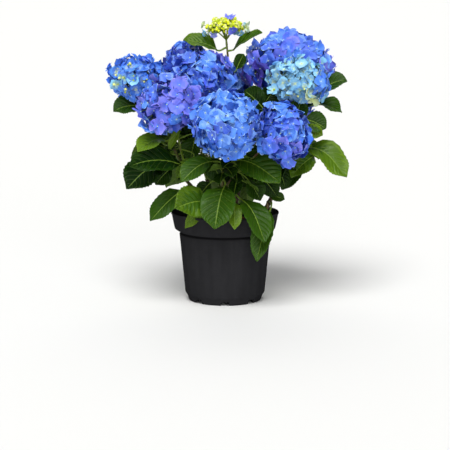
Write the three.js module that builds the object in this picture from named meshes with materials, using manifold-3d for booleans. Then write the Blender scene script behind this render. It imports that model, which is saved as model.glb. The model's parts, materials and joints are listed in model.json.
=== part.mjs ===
// A potted mophead hydrangea: a plastic nursery pot, its compost, six woody stems, the green
// boughs that fork from them, a flower head on each bough, the large outer leaves one by one,
// and the leaves inside the crown as uneven masses.
//
// Units are millimetres and +Z is up. The origin is on the pot's axis, at the level of its feet.
// A bearing is in degrees, anticlockwise from +X seen from above, so -90 is the front.

import * as THREE from 'three';
import { mergeVertices } from 'three/addons/utils/BufferGeometryUtils.js';
import Module from 'manifold-3d';

const wasm = await Module();
wasm.setup();

// ---------------------------------------------------------------- driving dimensions

const GAP = 0.35; // clearance between neighbouring solids
const WELD = 1e-3; // corners nearer to each other than this are one
const SLIVER = 0.02; // facets are merged where that moves the surface less than this
const END = 0.001; // the share of a sweep's length that counts as its very end
const UP = new THREE.Vector3(0, 0, 1);

const POT = {
  height: 190,
  rimRadius: 115,
  bandDrop: 38, // height of the thick band under the rim
  bandTaper: 7, // how much narrower the band is at its foot
  bandStep: 10, // how far the body steps in below the band
  baseRadius: 84,
  wall: 3,
  footRadius: 78,
  footHeight: 8,
  footWidth: 9,
  footFlare: 2.5, // how much wider the foot is at its shoulder
  footShoulder: 11, // height of the foot
  bodyFoot: 17, // where the body's straight side begins
  facets: 36,
  notches: 8,
  notchWidth: 22,
  drainRadius: 5,
  drainReach: 56,
};

const COMPOST = {
  top: 165, // level in the middle
  drop: 6, // how much lower it lies at the wall
  flatReach: 92, // how far out the level middle goes
};

const STEM = { footRadius: 7.5, topRadius: 5, flare: 0.45, sides: 7, steps: 5 };
const BOUGH = { footRadius: 4.2, topRadius: 2.9, sides: 5, steps: 6 };
const LEAF = {
  petiole: 0.25, // share of the whole length
  petioleRadius: 2,
  halfThickness: 1.5,
  fold: 0.22, // rise of the margin for each unit of half width
  lift: 0.9, // share of the arch that its two inner control points take
  steps: 7,
};

// Each stem stands on the compost and ends at its fork, given by bearing, reach and height.
const STEMS = {
  stem_front: { foot: [-92, 25], fork: [-97, 54, 238] },
  stem_left: { foot: [184, 28], fork: [188, 82, 258] },
  stem_right: { foot: [0, 82], fork: [-4, 124, 262] },
  stem_middle: { foot: [100, 6], fork: [55, 34, 305] },
  stem_back_left: { foot: [128, 30], fork: [126, 66, 250] },
  stem_back_right: { foot: [56, 34], fork: [58, 68, 250] },
};

// Flower heads: where the centre is (bearing, reach, height), the half sizes along X, Y and Z,
// the way the head faces (bearing and tilt away from upright), and the stem that carries it.
const BLOOMS = {
  front: { at: [-89, 150, 388], size: [78, 76, 77], faces: [-92, 50], stem: 'stem_front' },
  front_right: { at: [-45, 162, 364], size: [62, 66, 75], faces: [-40, 55], stem: 'stem_front' },
  left: { at: [-140, 147, 422], size: [72, 68, 68], faces: [-145, 45], stem: 'stem_left' },
  pale: { at: [-17, 158, 466], size: [80, 48, 52], faces: [-40, 40], stem: 'stem_right' },
  middle: { at: [203, 42, 464], size: [71, 66, 68], faces: [-110, 20], stem: 'stem_middle' },
  far_left: { at: [186, 184, 472], size: [70, 56, 54], faces: [180, 45], stem: 'stem_left' },
  upper_right: { at: [25, 151, 494], size: [102, 84, 80], faces: [20, 30], stem: 'stem_right' },
  upper_left: { at: [137, 111, 490], size: [62, 62, 60], faces: [140, 30], stem: 'stem_middle' },
  top: { at: [88, 46, 571], size: [50, 44, 31], faces: [0, 0], stem: 'stem_middle' },
  back_left: { at: [133, 166, 398], size: [70, 74, 70], faces: [135, 50], stem: 'stem_back_left' },
  back: { at: [93, 154, 438], size: [74, 76, 72], faces: [92, 45], stem: 'stem_back_right' },
  back_right: { at: [43, 172, 392], size: [72, 74, 70], faces: [45, 50], stem: 'stem_back_right' },
};

// Outer leaves. Each springs from a limb, a share of the way along it. Then come the foot and the
// tip of its blade (bearing, reach, height), the blade's width, its arch above a straight line,
// and its roll about the midrib in degrees.
const leaf = (limbName, along, foot, tip, width, arch, roll) => ({
  limbName,
  along,
  foot,
  tip,
  width,
  arch,
  roll,
});

const LEAVES = {
  top_left: leaf('bough_top', 0.84, [112, 48, 532], [155, 98, 549], 54, 6, -30),
  top_right: leaf('bough_top', 0.84, [68, 42, 532], [8, 80, 566], 46, 5, 30),
  right_upper: leaf('bough_upper_right', 0.7, [8, 176, 440], [4, 259, 464], 52, 10, 42),
  right_middle: leaf('bough_pale', 0.66, [-3, 171, 412], [-9, 246, 402], 62, 12, 14),
  right_drooping: leaf('bough_pale', 0.25, [-10, 172, 326], [-13, 259, 269], 60, 20, 40),
  right_under: leaf('bough_pale', 0.18, [-8, 186, 312], [-30, 163, 272], 50, 8, 40),
  left_upper: leaf('bough_far_left', 0.7, [-174, 178, 420], [-168, 236, 405], 50, 8, -48),
  left_pale: leaf('bough_left', 0.5, [-147, 150, 344], [-144, 219, 323], 54, 10, -26),
  left_large: leaf('bough_left', 0.12, [-138, 128, 302], [-142, 245, 304], 84, 8, -50),
  left_lower: leaf('stem_left', 0.98, [-160, 138, 284], [-157, 221, 249], 68, 16, -44),
  left_drooping: leaf('stem_left', 0.8, [-145, 108, 243], [-143, 193, 186], 45, 6, -36),
  rim_left: leaf('stem_front', 0.72, [-111, 108, 222], [-124, 182, 218], 72, 6, -58),
  rim_centre: leaf('bough_front', 0.14, [-91, 95, 256], [-98, 153, 175], 74, 12, 0),
  rim_small: leaf('stem_front', 0.6, [-79, 106, 224], [-82, 141, 173], 30, 10, 0),
  rim_right: leaf('bough_front_right', 0.1, [-68, 102, 226], [-62, 172, 148], 62, 16, 6),
  rim_low: leaf('stem_right', 0.75, [-45, 128, 198], [-64, 149, 106], 46, 6, 0),
  inner_front: leaf('bough_front', 0.5, [-74, 80, 310], [-49, 173, 270], 76, 6, 44),
  inner_left: leaf('bough_front', 0.46, [-107, 92, 306], [-127, 149, 267], 48, 10, -44),
  back_left: leaf('bough_back_left', 0.4, [148, 138, 322], [155, 226, 290], 80, 16, 20),
  back_middle: leaf('bough_back', 0.4, [94, 138, 330], [98, 226, 292], 82, 20, 0),
  back_right: leaf('bough_back_right', 0.4, [30, 138, 320], [26, 228, 288], 80, 16, -20),
  back_rim: leaf('stem_back_right', 0.8, [74, 104, 240], [80, 178, 176], 76, 20, 0),
};

// Leaf masses inside the crown, by centre and half sizes.
const MASSES = {
  foliage_front: { at: [-78, 64, 292], size: [80, 42, 56] },
  foliage_left: { at: [183, 112, 326], size: [54, 64, 58] },
  foliage_right: { at: [-10, 116, 324], size: [58, 60, 64] },
  foliage_back_left: { at: [128, 100, 302], size: [64, 54, 60] },
  foliage_back_right: { at: [58, 102, 300], size: [64, 54, 60] },
  foliage_heart: { at: [60, 16, 392], size: [88, 62, 44] },
};

// ---------------------------------------------------------------- materials

const finish = (color, roughness) => new THREE.MeshStandardMaterial({ color, roughness, metalness: 0 });

const POT_FINISH = () => finish('#2b2b2d', 0.6);
const COMPOST_FINISH = () => finish('#3a271b', 0.95);
const STEM_FINISH = () => finish('#6b5a35', 0.8);
const BOUGH_FINISH = () => finish('#6f8a3a', 0.65);
const LEAF_FINISH = () => finish('#2f5a1c', 0.5);
const FOLIAGE_FINISH = () => finish('#1f3d14', 0.7);

const BLOOM_COLOURS = {
  front: '#4a86ea',
  front_right: '#5b7be8',
  left: '#7a78e6',
  pale: '#8fc4ec',
  middle: '#5a70e4',
  far_left: '#4c82dc',
  upper_right: '#5a6ce0',
  upper_left: '#3a5ecb',
  top: '#c3cf52',
  back_left: '#5f76e2',
  back: '#5580e6',
  back_right: '#6a74e0',
};

// ---------------------------------------------------------------- solids

function toSolid(geometry) {
  const bare = geometry.clone();
  bare.deleteAttribute('normal');
  bare.deleteAttribute('uv');
  const merged = mergeVertices(bare, WELD);
  return new wasm.Manifold(
    new wasm.Mesh({
      numProp: 3,
      vertProperties: new Float32Array(merged.attributes.position.array),
      triVerts: new Uint32Array(merged.index.array),
    }),
  );
}

// The same, for a shape whose faces may all point inwards.
function facingOut(geometry) {
  const solid = toSolid(geometry);
  if (solid.volume() > 0) {
    return solid;
  }
  const index = geometry.index.array;
  for (let i = 0; i < index.length; i += 3) {
    [index[i], index[i + 1]] = [index[i + 1], index[i]];
  }
  return toSolid(geometry);
}

function toGeometry(solid) {
  const mesh = solid.getMesh();
  const geometry = new THREE.BufferGeometry();
  geometry.setAttribute('position', new THREE.BufferAttribute(new Float32Array(mesh.vertProperties), 3));
  geometry.setIndex(new THREE.BufferAttribute(new Uint32Array(mesh.triVerts), 1));
  geometry.computeVertexNormals();
  return geometry;
}

// The largest piece that a cut leaves.
function largest(solid) {
  const pieces = solid.decompose();
  pieces.sort((a, b) => b.volume() - a.volume());
  return pieces[0];
}

function polar([bearing, reach, height = COMPOST.top]) {
  const angle = THREE.MathUtils.degToRad(bearing);
  return new THREE.Vector3(reach * Math.cos(angle), reach * Math.sin(angle), height);
}

// A slow, repeatable unevenness between about -1 and 1 for a direction.
function unevenness(direction, seed) {
  const { x, y, z } = direction;
  const broad = Math.sin(3.1 * x + 1.7 * seed) + Math.sin(2.7 * y - 2.3 * seed) + Math.sin(3.7 * z + seed);
  const fine = Math.sin(6.3 * x + 5.1 * y + seed) + Math.sin(5.9 * z - 6.7 * y - 1.3 * seed);
  return broad / 4 + fine / 5;
}

// 1 at the end of a sweep, -1 at its start and 0 between.
function endSign(share) {
  if (share > 1 - END) {
    return 1;
  }
  return share < END ? -1 : 0;
}

// A closed shape swept along a curve. The outline function gives the section's two
// offsets, across and above, for a share of the length and a corner's angle.
function sweep(curve, { sides, steps, roll = 0, outline, lengthen = 0 }) {
  const geometry = new THREE.CylinderGeometry(1, 1, 1, sides, steps);
  const corner = geometry.attributes.position;
  const chord = curve.getPoint(1).sub(curve.getPoint(0));
  const side = new THREE.Vector3().crossVectors(chord, UP);
  if (side.length() < 1) {
    side.set(1, 0, 0);
  }
  side.normalize();
  for (let i = 0; i < corner.count; i += 1) {
    const share = THREE.MathUtils.clamp(corner.getY(i) + 0.5, 0, 1);
    const spread = Math.hypot(corner.getX(i), corner.getZ(i));
    const [across, above] = outline(share, Math.atan2(corner.getZ(i), corner.getX(i)));
    const tangent = curve.getTangent(share);
    const square = side.clone().addScaledVector(tangent, -side.dot(tangent)).normalize();
    const rolled = square.applyAxisAngle(tangent, THREE.MathUtils.degToRad(roll));
    const normal = new THREE.Vector3().crossVectors(rolled, tangent);
    const point = curve.getPoint(share);
    point.addScaledVector(tangent, lengthen * endSign(share));
    point.addScaledVector(rolled, across * spread);
    point.addScaledVector(normal, above * spread);
    corner.setXYZ(i, point.x, point.y, point.z);
  }
  return facingOut(geometry);
}

// ---------------------------------------------------------------- pot and compost

function bodyRadius(height) {
  const { baseRadius, rimRadius, bandTaper, bandStep, bandDrop } = POT;
  const bodyTop = POT.height - bandDrop;
  const topRadius = rimRadius - bandTaper - bandStep;
  return THREE.MathUtils.lerp(baseRadius, topRadius, height / bodyTop);
}

function insideRadius(height) {
  return bodyRadius(height) - POT.wall;
}

function makePot() {
  const { height, rimRadius, bandDrop, bandTaper, wall, facets } = POT;
  const { footRadius, footHeight, footWidth, footFlare, footShoulder, bodyFoot } = POT;
  const bandFoot = height - bandDrop;
  const floor = footHeight + wall;
  const profile = [
    [0, footHeight],
    [footRadius - footWidth, footHeight],
    [footRadius - footWidth + 1, 0],
    [footRadius, 0],
    [footRadius + footFlare, footShoulder],
    [bodyRadius(bodyFoot), bodyFoot],
    [bodyRadius(bandFoot - 3), bandFoot - 3],
    [rimRadius - bandTaper, bandFoot + 2],
    [rimRadius, height],
    [rimRadius - wall, height],
    [rimRadius - wall - 2, height - 4],
    [insideRadius(bandFoot), bandFoot],
    [insideRadius(bodyFoot), bodyFoot],
    [footRadius - wall, floor],
    [0, floor],
  ];
  const points = profile.map(([radius, level]) => new THREE.Vector2(radius, level));
  const shell = new THREE.LatheGeometry(points, facets);
  shell.rotateX(Math.PI / 2);
  let pot = facingOut(shell);
  for (let i = 0; i < POT.notches; i += 1) {
    const angle = -Math.PI / 2 + (i * 2 * Math.PI) / POT.notches;
    pot = pot.subtract(footNotch(angle)).subtract(drainHole(angle));
  }
  return pot;
}

// A tapering gap through the foot ring, narrower at its top.
function footNotch(angle) {
  const { notchWidth, footHeight, footWidth, footRadius } = POT;
  const half = notchWidth / 2;
  const outline = new THREE.Shape([
    new THREE.Vector2(-half, -2),
    new THREE.Vector2(half, -2),
    new THREE.Vector2(half - 4, footHeight - 1),
    new THREE.Vector2(4 - half, footHeight - 1),
  ]);
  const geometry = new THREE.ExtrudeGeometry(outline, { depth: footWidth + 6, bevelEnabled: false });
  geometry.rotateX(Math.PI / 2);
  geometry.rotateZ(Math.PI / 2);
  geometry.translate(footRadius - footWidth - 3, 0, 0);
  geometry.rotateZ(angle);
  return toSolid(geometry);
}

function drainHole(angle) {
  const { drainRadius, drainReach, footHeight, wall } = POT;
  const geometry = new THREE.CylinderGeometry(drainRadius, drainRadius, 4 * wall, 8);
  geometry.rotateX(Math.PI / 2);
  geometry.translate(drainReach, 0, footHeight + wall / 2);
  geometry.rotateZ(angle);
  return toSolid(geometry);
}

function makeCompost() {
  const { top, drop, flatReach } = COMPOST;
  const floor = POT.footHeight + POT.wall + GAP;
  const clear = GAP / Math.cos(Math.PI / POT.facets);
  const profile = [
    [0, floor],
    [POT.footRadius - POT.wall - clear, floor],
    [insideRadius(POT.bodyFoot) - clear, POT.bodyFoot + GAP],
    [insideRadius(top - drop) - clear, top - drop],
    [flatReach, top],
    [0, top],
  ];
  const points = profile.map(([radius, level]) => new THREE.Vector2(radius, level));
  const geometry = new THREE.LatheGeometry(points, POT.facets);
  geometry.rotateX(Math.PI / 2);
  return facingOut(geometry);
}

// ---------------------------------------------------------------- limbs

function stemCurve({ foot, fork }) {
  const start = polar(foot);
  start.z += GAP;
  const end = polar(fork);
  const rise = end.z - start.z;
  const first = start.clone().addScaledVector(UP, 0.45 * rise);
  const second = start.clone().lerp(end, 0.72);
  return new THREE.CubicBezierCurve3(start, first, second, end);
}

function boughCurve({ at, stem }) {
  const start = polar(STEMS[stem].fork);
  const end = polar(at);
  const length = start.distanceTo(end);
  const first = start.clone().lerp(end, 0.2).addScaledVector(UP, 0.1 * length);
  const second = start.clone().lerp(end, 0.7).addScaledVector(UP, 0.06 * length);
  return new THREE.CubicBezierCurve3(start, first, second, end);
}

function limb(curve, { footRadius, topRadius, flare = 0, sides, steps }, grow = 0) {
  const outline = (share, angle) => {
    const spread = 1 + flare * Math.exp(-9 * share);
    const radius = THREE.MathUtils.lerp(footRadius, topRadius, share) * spread + grow;
    return [radius * Math.cos(angle), radius * Math.sin(angle)];
  };
  return sweep(curve, { sides, steps, outline, lengthen: grow });
}

// ---------------------------------------------------------------- flower heads and leaf masses

// An uneven ball with the given half sizes, flatter on the side away from where it faces.
function unevenBall({ at, size, faces = [0, 0] }, { seed, roughness, flatten, detail }, grow = 0) {
  const geometry = new THREE.IcosahedronGeometry(1, detail);
  const corner = geometry.attributes.position;
  const centre = polar(at);
  const tilt = THREE.MathUtils.degToRad(faces[1]);
  const facing = polar([faces[0], Math.sin(tilt), Math.cos(tilt)]);
  const direction = new THREE.Vector3();
  for (let i = 0; i < corner.count; i += 1) {
    direction.fromBufferAttribute(corner, i).normalize();
    const below = Math.max(0, -direction.dot(facing) - 0.25);
    const spread = (1 + roughness * unevenness(direction, seed)) * (1 - flatten * below);
    const point = new THREE.Vector3(
      direction.x * (size[0] * spread + grow),
      direction.y * (size[1] * spread + grow),
      direction.z * (size[2] * spread + grow),
    );
    point.add(centre);
    corner.setXYZ(i, point.x, point.y, point.z);
  }
  return toSolid(geometry);
}

// ---------------------------------------------------------------- leaves

function leafCurve({ limbName, along, foot, tip, arch }, curves) {
  const start = curves[limbName].getPoint(along);
  const bladeFoot = polar(foot);
  const end = polar(tip);
  const early = bladeFoot.clone().lerp(end, 0.34).addScaledVector(UP, LEAF.lift * arch);
  const late = bladeFoot.clone().lerp(end, 0.68).addScaledVector(UP, LEAF.lift * arch);
  return new THREE.CatmullRomCurve3([start, bladeFoot, early, late, end]);
}

// A petiole that widens into a thin blade, folded a little along its midrib. The blade thins out
// to its margin, and a grown copy keeps its clearance there too.
function leafSolid(shape, curves, grow = 0) {
  const { petiole, petioleRadius, halfThickness, fold, steps } = LEAF;
  const outline = (share, angle) => {
    const inBlade = Math.max(0, (share - petiole) / (1 - petiole));
    const widen = Math.sin(Math.PI * inBlade ** 0.85) ** 0.7;
    const least = share > 1 - END ? 1 : petioleRadius;
    const half = Math.max(least, (shape.width / 2) * widen);
    const blade = half > petioleRadius;
    const across = Math.cos(angle);
    const above = Math.sin(angle);
    if (Math.abs(across) < 0.1) {
      return [0, Math.sign(above) * ((blade ? halfThickness : petioleRadius) + grow)];
    }
    return [Math.sign(across) * (half + grow), (blade ? fold * half : 0) + Math.sign(above) * grow];
  };
  const curve = leafCurve(shape, curves);
  return sweep(curve, { sides: grow > 0 ? 6 : 4, steps, roll: shape.roll, outline, lengthen: grow });
}

// ---------------------------------------------------------------- assembly

const model = new THREE.Group();
const placed = [];

// Cuts a solid clear of everything placed before it, and adds what is left as a mesh.
function place(name, material, make) {
  let solid = make(0);
  const box = solid.boundingBox();
  for (const other of placed) {
    const apart = [0, 1, 2].some((k) => box.min[k] > other.box.max[k] || other.box.min[k] > box.max[k]);
    if (!apart) {
      solid = solid.subtract(other.grown);
    }
  }
  const whole = largest(largest(solid).simplify(SLIVER));
  const grown = make(GAP);
  placed.push({ grown, box: grown.boundingBox() });
  const mesh = new THREE.Mesh(toGeometry(whole), material);
  mesh.name = name;
  model.add(mesh);
}

const potMesh = new THREE.Mesh(toGeometry(makePot()), POT_FINISH());
potMesh.name = 'pot';
model.add(potMesh);

const compostMesh = new THREE.Mesh(toGeometry(makeCompost()), COMPOST_FINISH());
compostMesh.name = 'compost';
model.add(compostMesh);

const curves = {};

Object.entries(STEMS).forEach(([name, stem]) => {
  curves[name] = stemCurve(stem);
  place(name, STEM_FINISH(), (grow) => limb(curves[name], STEM, grow));
});

Object.entries(BLOOMS).forEach(([name, bloom], i) => {
  const shape = { seed: i + 1, roughness: 0.12, flatten: 0.4, detail: 2 };
  const material = finish(BLOOM_COLOURS[name], 0.75);
  place(`bloom_${name}`, material, (grow) => unevenBall(bloom, shape, grow));
});

Object.entries(BLOOMS).forEach(([name, bloom]) => {
  curves[`bough_${name}`] = boughCurve(bloom);
  place(`bough_${name}`, BOUGH_FINISH(), (grow) => limb(curves[`bough_${name}`], BOUGH, grow));
});

Object.entries(LEAVES).forEach(([name, shape]) => {
  place(`leaf_${name}`, LEAF_FINISH(), (grow) => leafSolid(shape, curves, grow));
});

Object.entries(MASSES).forEach(([name, mass], i) => {
  const shape = { seed: 40 + 3 * i, roughness: 0.16, flatten: 0, detail: 1 };
  place(name, FOLIAGE_FINISH(), (grow) => unevenBall(mass, shape, grow));
});

export default model;
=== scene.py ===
"""The looks of a potted mophead hydrangea: a black nursery pot with its compost, woody stems,
green boughs, twelve flower heads, large toothed leaves and the leafy shoots inside the crown.

Everything is in metres, +Z is up and -Y is the plant's front. Sizes and places are measured on
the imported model's nodes, and each group of pieces has an operator of its own.
"""

import json
import math
from contextlib import contextmanager
from functools import cache

import bpy
import numpy as np
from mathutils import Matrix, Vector
from mathutils.bvhtree import BVHTree


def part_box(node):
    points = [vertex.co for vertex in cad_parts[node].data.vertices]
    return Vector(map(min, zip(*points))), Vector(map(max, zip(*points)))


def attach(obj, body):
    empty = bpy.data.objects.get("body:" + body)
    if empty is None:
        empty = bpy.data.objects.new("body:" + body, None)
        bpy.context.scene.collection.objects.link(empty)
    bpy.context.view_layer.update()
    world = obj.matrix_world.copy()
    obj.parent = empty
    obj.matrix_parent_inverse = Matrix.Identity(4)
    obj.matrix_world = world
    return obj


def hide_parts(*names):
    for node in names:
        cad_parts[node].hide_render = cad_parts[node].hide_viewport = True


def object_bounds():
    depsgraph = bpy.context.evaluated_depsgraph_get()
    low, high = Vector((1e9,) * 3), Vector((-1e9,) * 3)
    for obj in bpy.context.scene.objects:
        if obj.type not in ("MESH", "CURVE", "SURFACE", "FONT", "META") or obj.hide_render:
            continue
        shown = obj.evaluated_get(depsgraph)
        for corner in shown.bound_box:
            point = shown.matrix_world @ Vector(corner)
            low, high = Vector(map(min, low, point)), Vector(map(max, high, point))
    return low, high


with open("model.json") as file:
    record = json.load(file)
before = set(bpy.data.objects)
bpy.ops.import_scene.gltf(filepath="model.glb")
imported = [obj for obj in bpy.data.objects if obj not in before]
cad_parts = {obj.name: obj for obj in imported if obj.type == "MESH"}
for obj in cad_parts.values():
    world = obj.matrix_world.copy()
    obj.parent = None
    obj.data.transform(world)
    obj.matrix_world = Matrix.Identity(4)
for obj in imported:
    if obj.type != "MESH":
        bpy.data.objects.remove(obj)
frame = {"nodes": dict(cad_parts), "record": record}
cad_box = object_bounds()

bl_info = {
    "name": "Potted Hydrangea",
    "version": (1, 0, 0),
    "blender": (4, 5, 0),
    "location": "3D View > Sidebar > Hydrangea",
    "description": "Builds a mophead hydrangea in its pot around a packed model",
    "category": "Add Mesh",
}

MM = 0.001
UP = np.array([0.0, 0.0, 1.0])
TURN = 2 * math.pi


def nodes_of(kind):
    return [node for node in sorted(frame["nodes"]) if node.startswith(kind)]


STEMS, BOUGHS, LEAVES, MASSES = map(nodes_of, ("stem_", "bough_", "leaf_", "foliage_"))


def short(node):
    """A node's name without its kind, as front for bloom_front."""
    return node.split("_", 1)[1]


def linear(code):
    """A six-digit colour code as linear red, green and blue."""
    shares = [int(code[i : i + 2], 16) / 255 for i in (1, 3, 5)]
    return tuple(s / 12.92 if s < 0.04045 else ((s + 0.055) / 1.055) ** 2.4 for s in shares)


# ------------------------------------------------------------------ what a user may change


def length_prop(name, text, value):
    return bpy.props.FloatProperty(
        name=name, description=text, default=value, min=0.0, unit="LENGTH", precision=4
    )


def share_prop(name, text, value):
    return bpy.props.FloatProperty(
        name=name, description=text, default=value, min=0.0, max=2.0, subtype="FACTOR"
    )


def count_prop(name, text, value):
    return bpy.props.IntProperty(name=name, description=text, default=value, min=1)


def colour_prop(name, text, code):
    return bpy.props.FloatVectorProperty(
        name=name, description=text, default=linear(code), size=3, min=0.0, max=1.0, subtype="COLOR"
    )


class HydrangeaSizes(bpy.types.PropertyGroup):
    floret: length_prop("Floret", "Width of a fully open floret", 40 * MM)
    florets: count_prop("Florets", "Florets that a full ball of an average head would hold", 104)
    inner_florets: share_prop("Inner florets", "Florets under the outer ones, as a share", 0.8)
    bud: length_prop("Bud", "Width of an unopened flower bud", 4.4 * MM)
    blade: length_prop("Blade thickness", "Thickness of a leaf blade", 0.6 * MM)
    tooth: share_prop("Teeth", "Depth of the leaf margin's teeth, as a share of the half width", 0.03)
    quilting: share_prop("Quilting", "How far a leaf bulges between veins, as a share", 0.05)
    vein_pairs: count_prop("Vein pairs", "Side veins on each side of a large leaf", 7)
    shoots: count_prop("Shoots", "Leafy shoots in each mass of inner foliage", 16)
    chips: count_prop("Bark chips", "Chips of bark lying on the compost", 420)
    seed: count_prop("Seed", "Starts every chance choice", 7)


class HydrangeaColours(bpy.types.PropertyGroup):
    azure: colour_prop("Azure", "Petals of the bluest heads", "#3C7AEA")
    royal: colour_prop("Royal blue", "Petals of the deeper blue heads", "#3F66E2")
    # besides deep blue petals here and there, navy is painted shade on the head behind the middle one
    navy: colour_prop("Navy", "Petals that are the deepest blue", "#2152DA")
    violet: colour_prop("Violet", "Petals of the violet-blue heads", "#6E73E3")
    dusk: colour_prop("Dusk", "The darkest violet petals", "#4A3DB0")
    aqua: colour_prop("Aqua", "Petals of the palest head", "#80C2EC")
    cream: colour_prop("Cream", "Petals that have only just opened", "#D3E3B4")
    # ice also paints the highlight on petal rims
    ice: colour_prop("Ice blue", "The glow round a floret's eye, and pale rims", "#B4DCF8")
    # lilac also paints the highlight on violet petals' rims
    lilac: colour_prop("Lilac", "The palest violet petals and their rims", "#A9A4F0")
    bud: colour_prop("Bud", "Unopened flower buds", "#D2DA20")
    leaf_deep: colour_prop("Shaded leaf", "The darkest parts of old leaves", "#0C2204")
    leaf_mid: colour_prop("Leaf", "Most of a leaf", "#2F500A")
    leaf_bright: colour_prop("Young leaf", "Young leaves and lit margins", "#708E16")
    underside: colour_prop("Underside", "The duller back of a leaf", "#4F6A24")
    stalk: colour_prop("Stalk", "Leaf stalks and veins", "#84A034")
    bark: colour_prop("Bark", "Woody stems", "#3A2D1A")
    pot: colour_prop("Pot", "The pot's plastic", "#28282A")
    compost: colour_prop("Compost", "Moist potting compost", "#2A1C13")
    floor: colour_prop("Floor", "The studio's floor", "#E6E6E4")


def sizes():
    return bpy.context.scene.hydrangea_sizes


def chosen(name):
    """The colour that stands under a name in the panel."""
    return tuple(getattr(bpy.context.scene.hydrangea_colours, name))


def chances(number):
    """The stream of chance choices that goes by a number."""
    return np.random.default_rng(sizes().seed + number)


# ------------------------------------------------------------------ small geometry


def unit(v):
    return v / np.maximum(np.linalg.norm(v, axis=-1, keepdims=True), 1e-12)


def heading(bearing, climb):
    """The direction of a bearing, anticlockwise from +X, and a climb above level, in degrees."""
    b, c = math.radians(bearing), math.radians(climb)
    return np.array([math.cos(b) * math.cos(c), math.sin(b) * math.cos(c), math.sin(c)])


def turned_about(v, axis, angle):
    """Vectors turned about unit axes by angles in radians."""
    c, s = np.cos(angle)[..., None], np.sin(angle)[..., None]
    kept = axis * np.sum(v * axis, axis=-1, keepdims=True)
    return v * c + np.cross(axis, v) * s + kept * (1 - c)


def square_to(v, axis):
    """The unit vectors nearest to v that are square to axis."""
    return unit(v - axis * np.sum(v * axis, axis=-1, keepdims=True))


def bezier(a, b, c, d, count):
    """Points on the curve that leaves a towards b and reaches d from c."""
    t = np.linspace(0, 1, count)[:, None]
    return a * (1 - t) ** 3 + 3 * b * t * (1 - t) ** 2 + 3 * c * t * t * (1 - t) + d * t**3


def tangents(path):
    return unit(np.gradient(path, axis=0))


def along(path, share):
    """The points at shares of a path's number of steps."""
    at = np.asarray(share) * (len(path) - 1)
    steps = np.arange(len(path))
    return np.stack([np.interp(at, steps, path[:, k]) for k in range(3)], axis=-1)


def even_directions(count):
    """Directions spread evenly over a ball, from +Z down."""
    k = np.arange(count) + 0.5
    z = 1 - 2 * k / count
    golden = math.pi * (3 - math.sqrt(5))
    r = np.sqrt(1 - z * z)
    return np.stack([r * np.cos(k * golden), r * np.sin(k * golden), z], axis=1)


def facing_frame(axis):
    """Two directions that are square to unit axes and to each other."""
    guide = np.where(np.abs(axis[..., 2:]) > 0.9, np.array([1.0, 0.0, 0.0]), UP)
    first = square_to(guide, axis)
    return first, np.cross(axis, first)


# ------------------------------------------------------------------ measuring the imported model


@cache
def triangles(node):
    """The corners of a node's triangles, as an array of shape (n, 3, 3)."""
    mesh = frame["nodes"][node].data
    mesh.calc_loop_triangles()
    corners = np.empty(len(mesh.vertices) * 3, np.float32)
    mesh.vertices.foreach_get("co", corners)
    picks = np.empty(len(mesh.loop_triangles) * 3, np.int32)
    mesh.loop_triangles.foreach_get("vertices", picks)
    return corners.astype(float).reshape(-1, 3)[picks].reshape(-1, 3, 3)


@cache
def skin(node):
    """A node's surface, for casting rays at it."""
    tris = triangles(node)
    faces = np.arange(len(tris) * 3).reshape(-1, 3).tolist()
    return BVHTree.FromPolygons([Vector(p) for p in tris.reshape(-1, 3)], faces)


def cut(tris, axis, level):
    """Where the plane square to axis at a level crosses the triangles' edges."""
    edges = np.concatenate([tris[:, [0, 1]], tris[:, [1, 2]], tris[:, [2, 0]]])
    height = edges @ axis
    crossing = (height[:, 0] - level) * (height[:, 1] - level) < 0
    edges, height = edges[crossing], height[crossing]
    share = (level - height[:, 0]) / (height[:, 1] - height[:, 0])
    return edges[:, 0] + share[:, None] * (edges[:, 1] - edges[:, 0])


def from_middle(section):
    """How far the points of a cut lie from their middle."""
    return np.linalg.norm(section - section.mean(axis=0), axis=1)


def fitted(levels, points, places, **weights):
    """The points at places on a smooth line through points at levels."""
    fit = np.polyfit(levels, points, 3, **weights)
    return np.stack([np.polyval(fit[:, k], places) for k in range(3)], axis=1)


def middle(node):
    low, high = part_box(node)
    return np.array((low + high) / 2)


def reach(node):
    """A node's half sizes."""
    low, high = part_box(node)
    return np.array((high - low) / 2)


def outer_radius(node, level):
    return np.linalg.norm(cut(triangles(node), UP, level)[:, :2], axis=1).max()


LIMB_SECTIONS = 11  # cuts that a limb's centreline is fitted to
LIMB_ENDS = 0.04  # the share at either end of a limb that isn't cut
LIMB_STEPS = 33  # points along a limb


@cache
def limb(node):
    """A stem's or bough's centreline from its foot up, and its radius at each point."""
    tris = triangles(node)
    corners = tris.reshape(-1, 3)
    axis = np.linalg.eigh(np.cov(corners.T))[1][:, -1]
    axis = axis * np.sign(axis[2])
    low, high = (corners @ axis).min(), (corners @ axis).max()
    ends = LIMB_ENDS * (high - low)
    levels = np.linspace(low + ends, high - ends, LIMB_SECTIONS)
    sections = [cut(tris, axis, level) for level in levels]
    centres = [section.mean(axis=0) for section in sections]
    radii = [from_middle(section).mean() for section in sections]
    places = np.linspace(low, high, LIMB_STEPS)
    return fitted(levels, centres, places), np.interp(places, levels, radii)


# How far on towards the middle of its flower head a bough runs, as a share, and the same for the
# top head, whose rays start lower.
HEART_DEPTH, TOP_HEART_DEPTH = 0.5, 0.15


@cache
def whole_bough(name):
    """A bough from the fork it springs from to the heart of its flower head."""
    path, radii = limb("bough_" + name)
    forks = np.array([limb(stem)[0][-1] for stem in STEMS])
    fork = forks[np.argmin(np.linalg.norm(forks - path[0], axis=1))]
    depth = TOP_HEART_DEPTH if name == "top" else HEART_DEPTH
    heart = path[-1] + depth * (middle("bloom_" + name) - path[-1])
    path = np.concatenate([[fork], path[1:], [(path[-1] + heart) / 2, heart]])
    return path, np.append(radii, [radii[-1], radii[-1]])


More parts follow.
